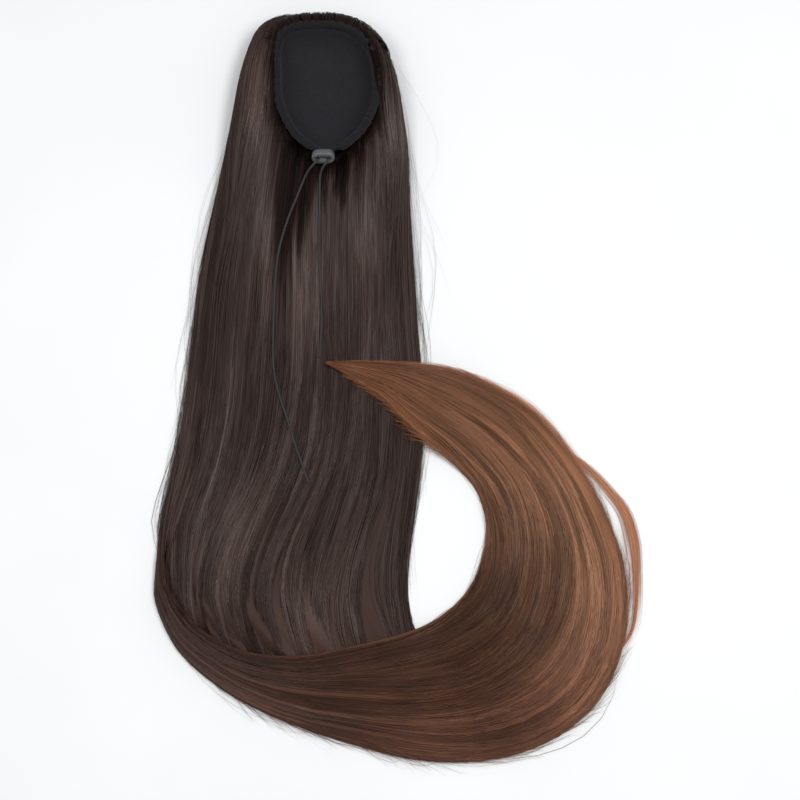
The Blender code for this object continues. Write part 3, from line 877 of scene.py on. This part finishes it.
def make_body(name, tops, tones, lights, across_mm, along_mm, floor, node):
    """A closed shape under a grid of top points: each row goes over the top and back below it, and the two
    ends close in a fan. Its lowest points are at floor, an array with a value for each row."""
    rows, columns = tops.shape[:2]
    below = tops[:, ::-1].copy()
    below[..., 2] = np.minimum(floor[:, None], below[..., 2] - 0.5)
    rings = np.concatenate([tops, below], axis=1)
    count = 2 * columns
    row, column, quads = wrapped_grid(rows, count)
    triangles = end_fans(rows, count)
    round_mm = np.concatenate([across_mm, across_mm[-1] + across_mm[::-1], [0]])
    corner_map = np.stack([round_mm[column], along_mm[row]], axis=-1) * MM
    points = np.concatenate([rings.reshape(-1, 3), rings[:1].mean(axis=1), rings[-1:].mean(axis=1)])
    values = {"chance": np.full(len(points), 0.5)}
    for key, grid in (("tone", tones), ("light", lights)):
        grid = np.broadcast_to(grid, (rows, columns))
        over = np.concatenate([grid, grid[:, ::-1]], axis=1).ravel()
        values[key] = np.concatenate([over, grid[0, :1], grid[-1, :1]])
    obj = put_mesh(name, points * MM, quads, triangles, corner_map, values, body_hair)
    turn_outwards(obj)
    hand_over(obj, node)
    print(name, 2 * len(quads) + len(triangles), "triangles")


def fall_tone(y):
    """How far down the hair a point of the fall is, as a share of its whole length."""
    return (FALL_TOP - y) / REACH_LENGTH


def painted_sheen_patches(x, y):
    """Painted sheen, where hair lies at the right slope to shine: DULL away from the table's soft patches,
    and up to gain more in the middle of each. The table gives a middle, half a width and half a length in mm,
    and the gain."""
    bright = DULL + 0 * x
    for middle_x, middle_y, half_width, half_length, gain in PAINTED_SHEEN_PATCHES:
        away = ((x - middle_x) / half_width) ** 2 + ((y - middle_y) / half_length) ** 2
        bright = bright + gain * np.exp(-away)
    return bright


def fall_light(x, y):
    """How bright the hair is: painted shade, near black in the parting below the cord lock and dark close to
    the casing, times the painted sheen.
    """
    away = np.abs(x - np.interp(y, PARTING_Y, PARTING_X)) / np.interp(y, PARTING_Y, PARTING_HALF)
    # Painted shade: the hair is darkened in the parting and in a band next to the casing.
    parting = PARTING_PAINTED_SHADE * smoothstep(1.35, 0.6, away) * smoothstep(62, 125, y)
    reach = 9 + 8 * smoothstep(225, 200, y)
    rim = RIM_PAINTED_SHADE * smoothstep(reach, 3, beyond_mouth(x, y))
    return (1 - parting) * (1 - rim) * painted_sheen_patches(x, y)


def make_fall_body():
    y = np.linspace(FALL_TOP - 0.6, FALL_FOOT, 130)
    across = np.linspace(0, 1, 64)
    tops = fall_point(across[None, :], y[:, None] + 0 * across[None, :])
    out = beyond_mouth(tops[..., 0], tops[..., 1])
    recess = np.interp(out, [-12, -5, 0, 4], [4.0, 12.0, 26.0, 60.0])
    tops[..., 2] = np.maximum(np.minimum(tops[..., 2] - BODY_DEPTH, recess), LOWEST_TOP)
    lights = fall_light(tops[..., 0], tops[..., 1])
    floor = np.full(len(y), FLOOR_CLEARANCE)
    tones = fall_tone(y)[:, None]
    make_body("fall_body", tops, tones, lights, across * 180, FALL_TOP - y, floor, "hair_fall")


make_fall_body()

# %% [markdown]
# Now the strands of the fall. Nearly half of the locks start at the rim of the cap and the others come up
# from below them further down. At the foot the lanes keep straight on and dive under the inner edge of the
# sweep. Beside the upper half of the mouth the hair lies over the outside of the casing. The two sides of
# the fall next to the cap are steep, and shorter locks of their own cover them.

# %% The strands of the fall
FALL_STEPS = 12
FALL_WIDTH = 175.0
RIM_COVER = 39.5
RIM_PLACES = 160
FOOT_Y = (-258, -236, -206, -175, -144, -113)
FOOT_LEFT = (-130, -150, -168, -176, -180, -182)
FOOT_RIGHT = (22, 20, 14, 9, 9, 13)
DIVE_X = (-178, -174, -157, -131, -105, -69, -34, -1, 22)
DIVE_Y = (-147, -170, -195, -212, -220, -221, -214, -206, -197)


def wander(across, place, seed, broad, fine):
    """Lanes across moved by two drifts that neighbours share, each given as its size and how many waves lie
    across. The drift dies out at the edges."""
    shift = broad[0] * drift(across, place / DRIFT_LENGTH, seed, broad[1], 3)
    shift = shift + fine[0] * drift(across, place / DRIFT_LENGTH, seed + 1, fine[1], 6)
    shift = shift * np.clip(8 * across, 0, 1) * np.clip(8 * (1 - across), 0, 1)
    return np.clip(across + shift, 0, 1)


def fall_flow(across, y):
    """A point on the lanes that the strands of the fall follow."""
    left, right, _, fullness = fall_section(y)
    foot = smoothstep(-113, -135, y)
    left = left + (np.interp(y, FOOT_Y, FOOT_LEFT) - left) * foot
    right = right + (np.interp(y, FOOT_Y, FOOT_RIGHT) - right) * foot
    lane = edge_spread(wander(across, y, 31, (0.010, 4), (0.003, 22)), fullness)
    bend = np.where(y > SWAY_Y, 70.0, 150.0)
    sway = FALL_SWAY * np.exp(-(((y - SWAY_Y) / bend) ** 2)) * np.sin(math.pi * lane)
    x = left + (right - left) * (lane - sway)
    z = fall_height(x, y, lane)
    over_rim = smoothstep(13, 5, beyond_mouth(x, y)) * smoothstep(200, 225, y)
    return np.stack([x, y + 0 * x, z + (RIM_COVER - z) * over_rim], axis=-1)


def rim_exit(across, start, end):
    """The last place from start down to end that is still inside the casing's line, or start. The hair
    covers more of the casing on the left than on the right."""
    place = span(start, end, np.linspace(0, 1, RIM_PLACES))
    path = fall_flow(across[:, None] + 0 * place, place)
    seen_from = np.where(path[..., 0] < MOUTH_X, 2.2, 3.6)
    inside = beyond_mouth(path[..., 0], path[..., 1]) < seen_from
    last = np.where(inside.any(axis=1), RIM_PLACES - np.argmax(inside[:, ::-1], axis=1), 0)
    return np.take_along_axis(place, np.minimum(last, RIM_PLACES - 1)[:, None], axis=1)[:, 0]


def lay_on_fall(name, locks, lock, group, jog=0.0):
    """Gives a group on the fall its tone and light, and makes its strands. jog shifts where the light is
    read, so that the sheen starts and ends at different places on neighbouring locks."""
    place = group["place"]
    group["tone"] = fall_tone(place)
    group["light"] = locks["light"][lock][:, None] * fall_light(group["path"][..., 0], place + jog)
    make_strands(name, dark_strands, [group])


def make_fall_strands(name, count, lock_count, seed, lift):
    chance = np.random.default_rng(seed)
    locks = choose_locks(chance, lock_count, 0.016, 0.040)
    locks["rise"] = 0.7 * locks["rise"] + lift
    locks["centre"] = locks["centre"] + 0.16 * locks["centre"] * (1 - locks["centre"])
    from_rim = chance.uniform(0, 1, lock_count) < 0.45
    lock_start = np.where(from_rim, FALL_TOP + 15, chance.uniform(-90, 260, lock_count))
    lock_length = chance.uniform(180, 400, lock_count)
    lock, offset = deal_strands(chance, lock_count, count)
    across = np.clip(locks["centre"][lock] + locks["half"][lock] * offset, 0.002, 0.998)
    start = lock_start[lock] - 0.25 * lock_length[lock] * chance.uniform(0, 1, count)
    start = np.minimum(start, FALL_TOP - 1 - 10 * chance.uniform(0, 1, count) ** 2)
    length = lock_length[lock] * chance.uniform(0.65, 1, count)
    start = rim_exit(across, start, start - length)
    dive = np.interp(fall_flow(across, np.full(count, -200.0))[:, 0], DIVE_X, DIVE_Y) - 12
    end = np.maximum(start - length, dive)
    start = np.maximum(start, end + 70)
    group = comb(fall_flow, locks, lock, offset, start, end, FALL_STEPS, chance, 0.7, FALL_WIDTH)
    jog = 50 * (locks["shade"][lock][:, None] - 0.5) * smoothstep(200, 150, group["place"])
    lay_on_fall(name, locks, lock, group, jog)


def make_side_strands():
    """Shorter locks on the two steep sides next to the cap, where the long locks lie thin."""
    chance = np.random.default_rng(111)
    count, lock_count = 520, 28
    locks = choose_locks(chance, lock_count, 0.010, 0.022)
    from_edge = 0.13 * chance.uniform(0, 1, lock_count)
    locks["centre"] = np.where(np.arange(lock_count) % 2 == 0, from_edge, 1 - from_edge)
    locks["rise"] = 0.4 * locks["rise"] - 0.1
    lock, offset = deal_strands(chance, lock_count, count)
    start = FALL_TOP - 0.6 - 70 * chance.uniform(0, 1, count) ** 2
    end = start - chance.uniform(70, 180, count)
    group = comb(fall_flow, locks, lock, offset, start, end, FALL_STEPS, chance, 0.4, FALL_WIDTH, crowd=2.0)
    lay_on_fall("side_strands", locks, lock, group)


make_fall_strands("fall_strands_lower", 1960, 72, 101, -0.4)
make_fall_strands("fall_strands_middle", 1900, 68, 102, -0.2)
make_fall_strands("fall_strands_upper", 1800, 55, 103, 0.0)
make_side_strands()

# %% [markdown]
# Along the top of the cap the hair is sewn on in a weft: short ends lie over the outside of the casing, bend
# down round the edge of the cup and reach the table, which gives that edge its small bumps.

# %% The weft along the top of the cap
WEFT_OUT = (2.6, 4.6, 7.4, 10.4, 13.2, 15.4, 16.3, 16.6)
WEFT_HEIGHT = (38.9, 38.4, 37.2, 35.4, 32.2, 24.0, 13.0, 2.5)
WEFT_SPOTS = (240, 480)
WEFT_FADE = 46
WEFT_WIDTH = 0.6
WEFT_LIGHT = 0.50


def make_weft():
    """Strands of one profile, out and height, set out square to the mouth at chance spots round its top."""
    chance = np.random.default_rng(401)
    count = 580
    outward = unit(mouth_outline(1.0, OUTLINE_POINTS) - outline)
    spots = np.arange(OUTLINE_POINTS)
    first, last = WEFT_SPOTS
    spot = chance.uniform(first, last, count)
    bunch = spot + 3.0 * np.sin(spot * 0.55)
    root = np.column_stack([np.interp(bunch, spots, outline[:, axis]) for axis in range(2)])
    away = unit(np.column_stack([np.interp(spot, spots, outward[:, axis]) for axis in range(2)]))
    reach = 1 + 0.03 * np.sin(spot * 0.55 + 1.0) + 0.015 * chance.standard_normal(count)
    steps = len(WEFT_OUT)
    low_root = 4.0 * smoothstep(WEFT_FADE, 0, np.minimum(spot - first, last - spot))[:, None]
    profile = low_root + (steps - 1 - low_root) * np.linspace(0, 1, steps)
    out = np.interp(profile, np.arange(steps), WEFT_OUT) * reach[:, None]
    flat = root[:, None] + away[:, None] * out[..., None]
    height = np.interp(profile, np.arange(steps), WEFT_HEIGHT) + 0.15 * chance.standard_normal(count)[:, None]
    path = np.concatenate([flat, height[..., None]], axis=-1)
    across = np.stack([-away[:, 1], away[:, 0], 0 * away[:, 0]], axis=-1)[:, None] + 0 * path
    side, up = frames_along(path, across)
    group = {
        "path": path,
        "side": side,
        "up": up,
        "width": WEFT_WIDTH * uneven(chance, 0.3, count)[:, None] * strand_taper(steps, STRAND_TIP),
        "roll": chance.normal(0, 0.3, count),
        "chance": chance.uniform(0, 1, count),
        "tone": np.zeros((count, steps)),
        "light": np.full((count, steps), WEFT_LIGHT),
    }
    make_strands("weft_strands", dark_strands, [group])


make_weft()

# %% [markdown]
# At the foot of the fall the hair turns right and becomes the sweep: a broad band that runs round the loop
# and ends in a tapered tip on the fall. Its table gives the outer and the inner edge, how far each is lifted
# off the table, and the thickness between them.

# %% The shape of the sweep
SWEEP = (
    (-185.0, -118, 2.0, -178.0, -116, 6.5, 4.0),
    (-187.5, -150, 0.0, -178.0, -147, 8.0, 6.0),
    (-185.0, -176, 0.0, -174.0, -170, 8.5, 7.5),
    (-169.0, -210, 0.0, -157.0, -195, 8.5, 9.0),
    (-142.0, -235, 0.0, -131.0, -212, 8.5, 10.5),
    (-112.0, -254, 0.0, -105.0, -220, 8.5, 12.0),
    (-73.0, -271, 0.0, -69.0, -221, 8.5, 13.0),
    (-31.0, -284, 0.0, -34.0, -214, 8.0, 14.0),
    (14.0, -295, 0.0, -1.0, -206, 6.0, 16.0),
    (60.0, -297, 0.0, 22.0, -197, 2.0, 18.0),
    (101.0, -288, 0.0, 38.0, -187, 0.0, 19.0),
    (136.0, -269, 0.0, 52.0, -174, 0.0, 19.0),
    (161.0, -241, 0.0, 61.0, -160, 0.0, 19.0),
    (174.0, -209, 0.0, 66.0, -146, 0.0, 18.5),
    (178.0, -177, 0.0, 69.0, -132, 0.0, 18.0),
    (175.0, -146, 0.0, 70.0, -118, 0.0, 18.0),
    (166.0, -117, 0.0, 68.0, -103, 0.0, 18.0),
    (152.0, -86, 0.0, 62.0, -88, 0.0, 17.5),
    (132.0, -56, 0.0, 50.0, -74, 1.0, 17.0),
    (106.0, -26, 0.0, 35.0, -61, 6.0, 16.0),
    (73.0, -6, 4.0, 18.0, -48, 13.0, 13.5),
    (44.0, 4, 10.0, 3.0, -34, 16.0, 11.0),
    (16.0, 8, 15.0, -12.0, -19, 18.0, 9.0),
    (-14.0, 9, 18.5, -29.0, -8, 18.5, 7.0),
    (-42.0, 9, 19.5, -47.0, 3, 19.5, 4.5),
    (-54.0, 9, 20.0, -55.0, 7, 20.0, 3.0),
)
SWEEP_LOCKS = np.array([0.0, 0.17, 0.38, 0.55, 0.77, 1.0])
SWEEP_GROOVE = 0.9
SWEEP_FULLNESS = 0.42

sweep_fine = np.linspace(0, len(SWEEP) - 1, 1500)
sweep_fine_row = read_rows(SWEEP, sweep_fine)
sweep_middle = (sweep_fine_row[:, 0:2] + sweep_fine_row[:, 3:5]) / 2
sweep_distance = distance_along(sweep_middle)
SWEEP_LENGTH = sweep_distance[-1]
print("sweep", round(SWEEP_LENGTH), "mm along its middle")


def sweep_section(distance):
    """The row of the table at a distance along the middle of the sweep."""
    return read_rows(SWEEP, np.interp(distance, sweep_distance, sweep_fine))


def sweep_point(across, distance):
    """A point on the sweep: on the line between its edges, raised by thickness * sin(pi * across)**fullness
    over the lifted edges, less the grooves between locks."""
    row = sweep_section(distance)
    outer, inner, thickness = row[..., :3], row[..., 3:6], row[..., 6]
    fraction = edge_spread(np.clip(across, 0, 1), SWEEP_FULLNESS)
    arch = np.clip(np.sin(math.pi * fraction), 0, 1)
    point = outer + (inner - outer) * fraction[..., None]
    groove = lock_groove(fraction, SWEEP_LOCKS) * SWEEP_GROOVE * np.clip(thickness / 15, 0.2, 1)
    ripple = RIPPLE * drift(fraction, distance / DRIFT_LENGTH, 41, 4, 6) * np.clip(thickness / 15, 0.2, 1)
    point[..., 2] += thickness * arch**SWEEP_FULLNESS + (ripple - groove) * np.clip(3 * arch, 0, 1)
    return point


# %% [markdown]
# Strands of the sweep begin on the left side of the fall, so a lane joins the two surfaces: before the
# corner it lies on the fall, after it on the sweep, and it crosses from one to the other in a soft step.
# The band is lighter towards its outer edge and deeper on its inner side, partly in its own colour and partly
# as painted sheen and shade, and the ends of its locks leave the tip ragged.

# %% The body and strands of the sweep
LANE_TOP = -118.0
LANE_SHARE = 0.10
SWEEP_STEPS = 15
SWEEP_WIDTH = 80.0
# Painted sheen and shade along the sweep, together with its paler outer side: places in mm, the light on the
# inner side, and what the outer side has more.
LIGHT_PLACE = (0, 60, 155, 215, 285, 325, 372, 405, 460, 510, 560, 660, 700)
INNER_LIGHT = (1.0, 0.95, 0.85, 0.66, 0.62, 0.52, 0.50, 0.54, 0.78, 0.92, 0.78, 0.78, 1.15)
OUTER_EXTRA = (0.0, 0.15, 0.75, 0.35, 0.55, 0.25, 1.00, 0.80, 0.65, 0.35, 0.10, 0.0, 0.0)


def sweep_lane(across, distance):
    """The surface that the sweep's strands follow. Above the corner distance is negative, and the lane lies
    on the left edge of the fall."""
    across = wander(across, distance, 51, (0.014, 3), (0.004, 18))
    on_fall = fall_point(0.01 + LANE_SHARE * across, np.maximum(LANE_TOP - distance, FALL_FOOT))
    on_sweep = sweep_point(across, np.maximum(distance, 0))
    share = smoothstep(-10, 60, distance)[..., None]
    return on_fall * (1 - share) + on_sweep * share


def sweep_tone(distance):
    """How far down the hair a point of the sweep is: it runs on from the fall."""
    return (FALL_TOP - LANE_TOP + distance) / REACH_LENGTH


def sweep_light(across, distance):
    """How bright the hair is: round the loop the outer side is pale and the inner side deep, partly in the
    hair's own colour and partly as painted sheen and shade. The first table gives the light on the inner side
    along the band, and the second what the outer side has more."""
    outer = smoothstep(0.6, 0.1, across) * np.interp(distance, LIGHT_PLACE, OUTER_EXTRA)
    return np.interp(distance, LIGHT_PLACE, INNER_LIGHT) + outer


def make_sweep_body():
    distance = np.linspace(0, SWEEP_LENGTH, 170)
    across = np.linspace(0, 1, 44)
    pull_in = (0.04 * smoothstep(540, 680, distance) + 0.45 * smoothstep(70, 0, distance))[:, None]
    lanes = pull_in + (1 - 2 * pull_in) * across[None, :]
    tops = sweep_point(lanes, distance[:, None] + 0 * lanes)
    thickness = sweep_section(distance)[:, 6]
    start_low = 2.5 * smoothstep(70, 0, distance)
    tops[..., 2] -= (np.minimum(BODY_DEPTH, 0.2 * thickness) + start_low)[:, None]
    tops[..., 2] = np.maximum(tops[..., 2], LOWEST_TOP)
    lift = np.minimum(tops[:, 0, 2], tops[:, -1, 2]) - 0.5
    floor = np.maximum(lift, FLOOR_CLEARANCE)
    tones = sweep_tone(distance)[:, None]
    lights = sweep_light(lanes, distance[:, None])
    make_body("sweep_body", tops, tones, lights, across * 90, distance, floor, "hair_sweep")


def make_sweep_strands(name, count, lock_count, seed, lift):
    chance = np.random.default_rng(seed)
    locks = choose_locks(chance, lock_count, 0.025, 0.060)
    locks["rise"] = 0.6 * locks["rise"] + lift
    lock_start = chance.uniform(-150, 570, lock_count)
    lock_length = chance.uniform(200, 400, lock_count)
    lock, offset = deal_strands(chance, lock_count, count)
    start = lock_start[lock] + 0.25 * lock_length[lock] * chance.uniform(0, 1, count)
    ragged = 15 + 150 * locks["centre"][lock]
    last = SWEEP_LENGTH - 3 - ragged * chance.uniform(0, 1, count) ** 1.6
    end = np.minimum(start + lock_length[lock] * chance.uniform(0.65, 1, count), last)
    start = np.minimum(start, end - 90)
    group = comb(sweep_lane, locks, lock, offset, start, end, SWEEP_STEPS, chance, 0.5, SWEEP_WIDTH)
    group["tone"] = sweep_tone(group["place"])
    group["light"] = locks["light"][lock][:, None] * sweep_light(group["across"], group["place"])
    make_strands(name, copper_strands, [group])


make_sweep_body()
make_sweep_strands("sweep_strands_lower", 1850, 72, 201, -0.15)
make_sweep_strands("sweep_strands_upper", 1850, 60, 202, 0.05)

# %% [markdown]
# A rounded lock lies on top of the sweep's inner edge. It comes down the left side of the fall, rounds the
# corner and marks where the fall dives under the band, with a dark crease beside it.

# %% The lock along the inner edge
CREASE_RADIUS = 1.7
CREASE_LIFT = 1.9
CREASE_WIDTH = 0.9 * STRAND_WIDTH
CREASE_LIGHT = 1.15


def make_crease_lock():
    """Strands that wind round one path: each keeps its own angle and radius, and twists slowly along it."""
    chance = np.random.default_rng(251)
    count = 170
    steps = 20
    start = chance.uniform(-70, 60, count)
    end = start + chance.uniform(260, 420, count)
    t = np.linspace(0, 1, steps)
    place = span(start, end, t)
    across = np.interp(place, [-70, 10, 70], [0.2, 0.6, 0.975])
    path = sweep_lane(across, place)
    beside = sweep_lane(across + LANE_STEP, place) - sweep_lane(across - LANE_STEP, place)
    side, up = frames_along(path, beside)
    angle = chance.uniform(0, 2 * math.pi, count)
    radius = CREASE_RADIUS * chance.uniform(0.4, 1.0, count)
    twist = angle[:, None] + 1.2 * t
    slim = 1 - 0.6 * smoothstep(0.5, 1.0, t)
    lift = CREASE_LIFT * np.sin(math.pi * np.clip(t, 0.02, 0.98)) ** 0.5
    path = path + side * (radius[:, None] * np.cos(twist) * slim)[..., None]
    path = path + up * (lift + radius[:, None] * np.sin(twist) * slim * 0.7)[..., None]
    group = {
        "path": path,
        "side": side,
        "up": up,
        "width": CREASE_WIDTH * uneven(chance, 0.3, count)[:, None] * strand_taper(steps, 0.3),
        "roll": np.pi / 2 - angle,
        "chance": chance.uniform(0.3, 1, count),
        "tone": sweep_tone(place),
        "light": np.full(place.shape, CREASE_LIGHT),
    }
    make_strands("inner_edge_lock", copper_strands, [group])


make_crease_lock()

# %% [markdown]
# One thin lock has come away from the outer edge of the loop. It is a small body with its own strands.

# %% The stray lock
STRAY = (
    (126.0, -54, 3.0, 3.0),
    (146.0, -69, 4.0, 3.5),
    (164.0, -88, 4.5, 3.5),
    (177.0, -106, 5.0, 3.5),
    (183.5, -129, 5.5, 3.5),
    (185.2, -152, 4.6, 3.5),
    (184.7, -176, 4.6, 3.5),
    (180.0, -200, 4.5, 3.5),
    (164.0, -222, 3.0, 3.0),
)
STRAY_TONE = 0.82
STRAY_BODY_LIGHT = 2.0
STRAY_LIGHT = 2.3
STRAY_WIDTH = 0.32


def stray_point(across, place):
    """A point over the stray lock: a low arch across a path in the plane of the table."""
    row = read_rows(STRAY, place)
    run = unit(read_rows(STRAY, place + 0.05)[..., :2] - read_rows(STRAY, place - 0.05)[..., :2])
    sideways = np.stack([run[..., 1], -run[..., 0]], axis=-1)
    flat = row[..., :2] + sideways * (across - 0.5)[..., None] * row[..., 2:3]
    height = row[..., 3] * (0.35 + 0.65 * np.clip(np.sin(math.pi * across), 0, 1) ** 0.6)
    return np.concatenate([flat, height[..., None]], axis=-1)


def make_stray_lock():
    chance = np.random.default_rng(301)
    place = np.linspace(0.02, len(STRAY) - 1.02, 120)
    across = np.linspace(0.72, 0.28, 10)
    tops = stray_point(across[None, :] + 0 * place[:, None], place[:, None] + 0 * across[None, :])
    tops[..., 2] -= 0.5
    floor = np.full(len(place), FLOOR_CLEARANCE)
    tones = np.full((len(place), 1), STRAY_TONE)
    lights = np.full((len(place), 1), STRAY_BODY_LIGHT)
    make_body("stray_body", tops, tones, lights, across * 5, place * 25, floor, "stray_lock")
    count = 140
    start = chance.uniform(0.02, 3.5, count)
    end = np.minimum(start + chance.uniform(3, 5, count), len(STRAY) - 1.02)
    lanes = 0.5 + 0.42 * chance.standard_normal(count)
    along = span(start, end, np.linspace(0, 1, SWEEP_STEPS))
    path = stray_point(lanes[:, None] + 0 * along, along)
    side, up = frames_along(path, np.array([[[0.0, 0.0, 1.0]]]) + 0 * path)
    path[..., 2] = np.maximum(path[..., 2] + chance.uniform(-0.4, 0.2, count)[:, None], 0.4)
    group = {
        "path": path,
        "side": side,
        "up": up,
        "width": STRAY_WIDTH * uneven(chance, 0.3, count)[:, None] * strand_taper(SWEEP_STEPS, STRAND_TIP),
        "roll": chance.normal(0, 0.4, count),
        "chance": chance.uniform(0.2, 1, count),
        "tone": np.full(along.shape, STRAY_TONE),
        "light": np.full(along.shape, STRAY_LIGHT),
    }
    make_strands("stray_strands", copper_strands, [group])


make_stray_lock()

# %% [markdown]
# Real hair never ends in a clean line. Single fine hairs bow out from the edges of the fall and come back,
# and round the loop short ends point away from the band. Each follows an edge and leaves it by its own
# reach. In the two tables below, a row is a kind of hair: the edge it leaves, its number and its range.

# %% Flyaway hairs
FLYAWAY_STEPS = 9


def edge_hairs(chance, surface, across, start, end, reach, bowed, outer_side, tone, light, width):
    """Fine hairs beside an edge. They leave it by reach * sin(pi * t)**1.3 if they come back, and by
    reach * t**2.2 if they are loose ends. outer_side is -1 where across grows inwards from the edge and 1
    where it grows outwards."""
    count = len(start)
    t = np.linspace(0, 1, FLYAWAY_STEPS)
    place = span(start, end, t)
    lanes = across[:, None] + 0 * place
    path = surface(lanes, place)
    beside = surface(np.clip(lanes + 0.02, 0, 1), place) - surface(np.clip(lanes - 0.02, 0, 1), place)
    outward = beside * outer_side
    outward[..., 2] = 0
    outward = unit(outward)
    leave = np.where(bowed[:, None], np.sin(math.pi * t) ** 1.3, t**2.2)
    sway = 0.12 * np.sin(2 * math.pi * (t * 1.5 + chance.uniform(0, 1, count)[:, None])) * t
    path = path + outward * (reach[:, None] * (leave + sway))[..., None]
    path[..., 2] = np.maximum(path[..., 2] * (1 - 0.6 * leave) + 0.3, 0.5)
    side, up = frames_along(path, beside)
    taper = strand_taper(FLYAWAY_STEPS, 0.5)
    return {
        "path": path,
        "side": side,
        "up": up,
        "width": width * uneven(chance, 0.25, count)[:, None] * taper,
        "roll": chance.normal(0, 0.3, count),
        "chance": chance.uniform(0, 1, count),
        "tone": tone(place) + 0 * place,
        "light": np.full(place.shape, light),
    }


def make_fall_flyaways():
    chance = np.random.default_rng(501)
    groups = []
    sides = (
        (0.03, -1, 130, (-60, 190), 8),
        (0.97, 1, 90, (-60, 280), 8),
        (0.03, -1, 9, (60, 260), 20),
        (0.97, 1, 14, (0, 290), 28),
    )
    for edge, outer_side, count, (low, high), far in sides:
        start = chance.uniform(low, high, count)
        end = np.maximum(start - chance.uniform(70, 220, count), -170)
        reach = 1.0 + far * chance.uniform(0, 1, count) ** 1.9
        across = np.full(count, edge)
        bowed = chance.uniform(0, 1, count) < 0.6
        args = (across, start, end, reach, bowed, outer_side, fall_tone, 1.0, 0.24)
        groups.append(edge_hairs(chance, fall_flow, *args))
    make_strands("fall_flyaways", dark_strands, groups)


def make_sweep_flyaways():
    chance = np.random.default_rng(502)
    groups = []
    spans = (
        (0.03, -1, 90, (60, 560), (60, 130), 12.0, 0.20, 1.2, 0.32),
        (0.03, -1, 330, (110, 500), (22, 55), 12.0, 0.04, 1.3, 0.34),
        (0.97, 1, 80, (230, 600), (50, 130), 5.0, 0.4, 1.0, 0.28),
        (0.97, 1, 230, (540, 665), (22, 55), 8.0, 0.0, 1.3, 0.44),
        (0.03, -1, 130, (580, 675), (20, 55), 6.0, 0.1, 1.3, 0.38),
        (0.03, -1, 110, (500, 600), (70, 120), 5.0, 1.0, 2.6, 0.32),
    )
    for edge, outer_side, count, (low, high), (short, long), far, share, light, width in spans:
        start = chance.uniform(low, high, count)
        end = np.minimum(start + chance.uniform(short, long, count), SWEEP_LENGTH - 4)
        reach = 1.0 + far * chance.uniform(0, 1, count) ** 1.8
        across = edge + 0.05 * chance.uniform(0, 1, count) * -outer_side
        bowed = chance.uniform(0, 1, count) < share
        args = (across, start, end, reach, bowed, outer_side, sweep_tone, light, width)
        groups.append(edge_hairs(chance, sweep_lane, *args))
    make_strands("sweep_flyaways", copper_strands, groups)


make_fall_flyaways()
make_sweep_flyaways()

# %% [markdown]
# The hairpiece lies on a plain white surface under soft daylight: a bright, even sky, and two broad window
# lights, a strong one on the right and a weaker one on the left, that give the hair its long sheen.

# %% The table and the light
SKY_STRENGTH = 0.48
FLOOR_TONE = 0.88


def make_floor():
    finish = Finish("white_table")
    soft = finish.noise(finish.place(), 6.0, 3.0)
    pale = tuple(FLOOR_TONE * part for part in (0.985, 0.995, 1.0))
    paler = tuple(min(1.0, 1.03 * part) for part in pale)
    finish.set(Base_Color=finish.ramp(soft, ((0.35, pale), (0.7, paler))), Roughness=0.9)
    finish.set(Specular_IOR_Level=0.2)
    reach = 3.0
    corners = np.array([[-reach, -reach, 0], [reach, -reach, 0], [reach, reach, 0], [-reach, reach, 0]])
    floor = put_mesh("table", corners, [[0, 1, 2, 3]], material=finish.material)


def make_light(name, place, size, power):
    """A square area light that looks at the middle of the hairpiece."""
    data = bpy.data.lights.new(name, "AREA")
    data.shape = "RECTANGLE"
    data.size, data.size_y = size
    data.energy = power
    light = bpy.data.objects.new(name, data)
    light.location = place
    light.rotation_euler = (Vector((0, 0, 0)) - light.location).to_track_quat("-Z", "Y").to_euler()
    bpy.context.scene.collection.objects.link(light)


def make_sky():
    world = bpy.data.worlds.new("sky")
    world.use_nodes = True
    world.node_tree.nodes["Background"].inputs["Color"].default_value = (0.97, 0.99, 1.0, 1.0)
    world.node_tree.nodes["Background"].inputs["Strength"].default_value = SKY_STRENGTH
    bpy.context.scene.world = world


make_floor()
make_light("window", Vector((0.56, 0.0, 1.5)), (0.8, 0.5), 12.5)
make_light("second_window", Vector((-0.60, -0.05, 1.45)), (0.7, 0.5), 6.6)
make_sky()
bpy.context.scene.view_settings.view_transform = "Standard"

# %% The sizes, and the end
solids = set(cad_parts.values())
added = [item for item in bpy.context.scene.objects if item.type == "MESH" and item not in solids]
faces = {item.name: len(item.data.loops) - 2 * len(item.data.polygons) for item in added}
print("triangles added:", sum(faces.values()), "in", len(faces), "pieces, the largest", max(faces.values()))
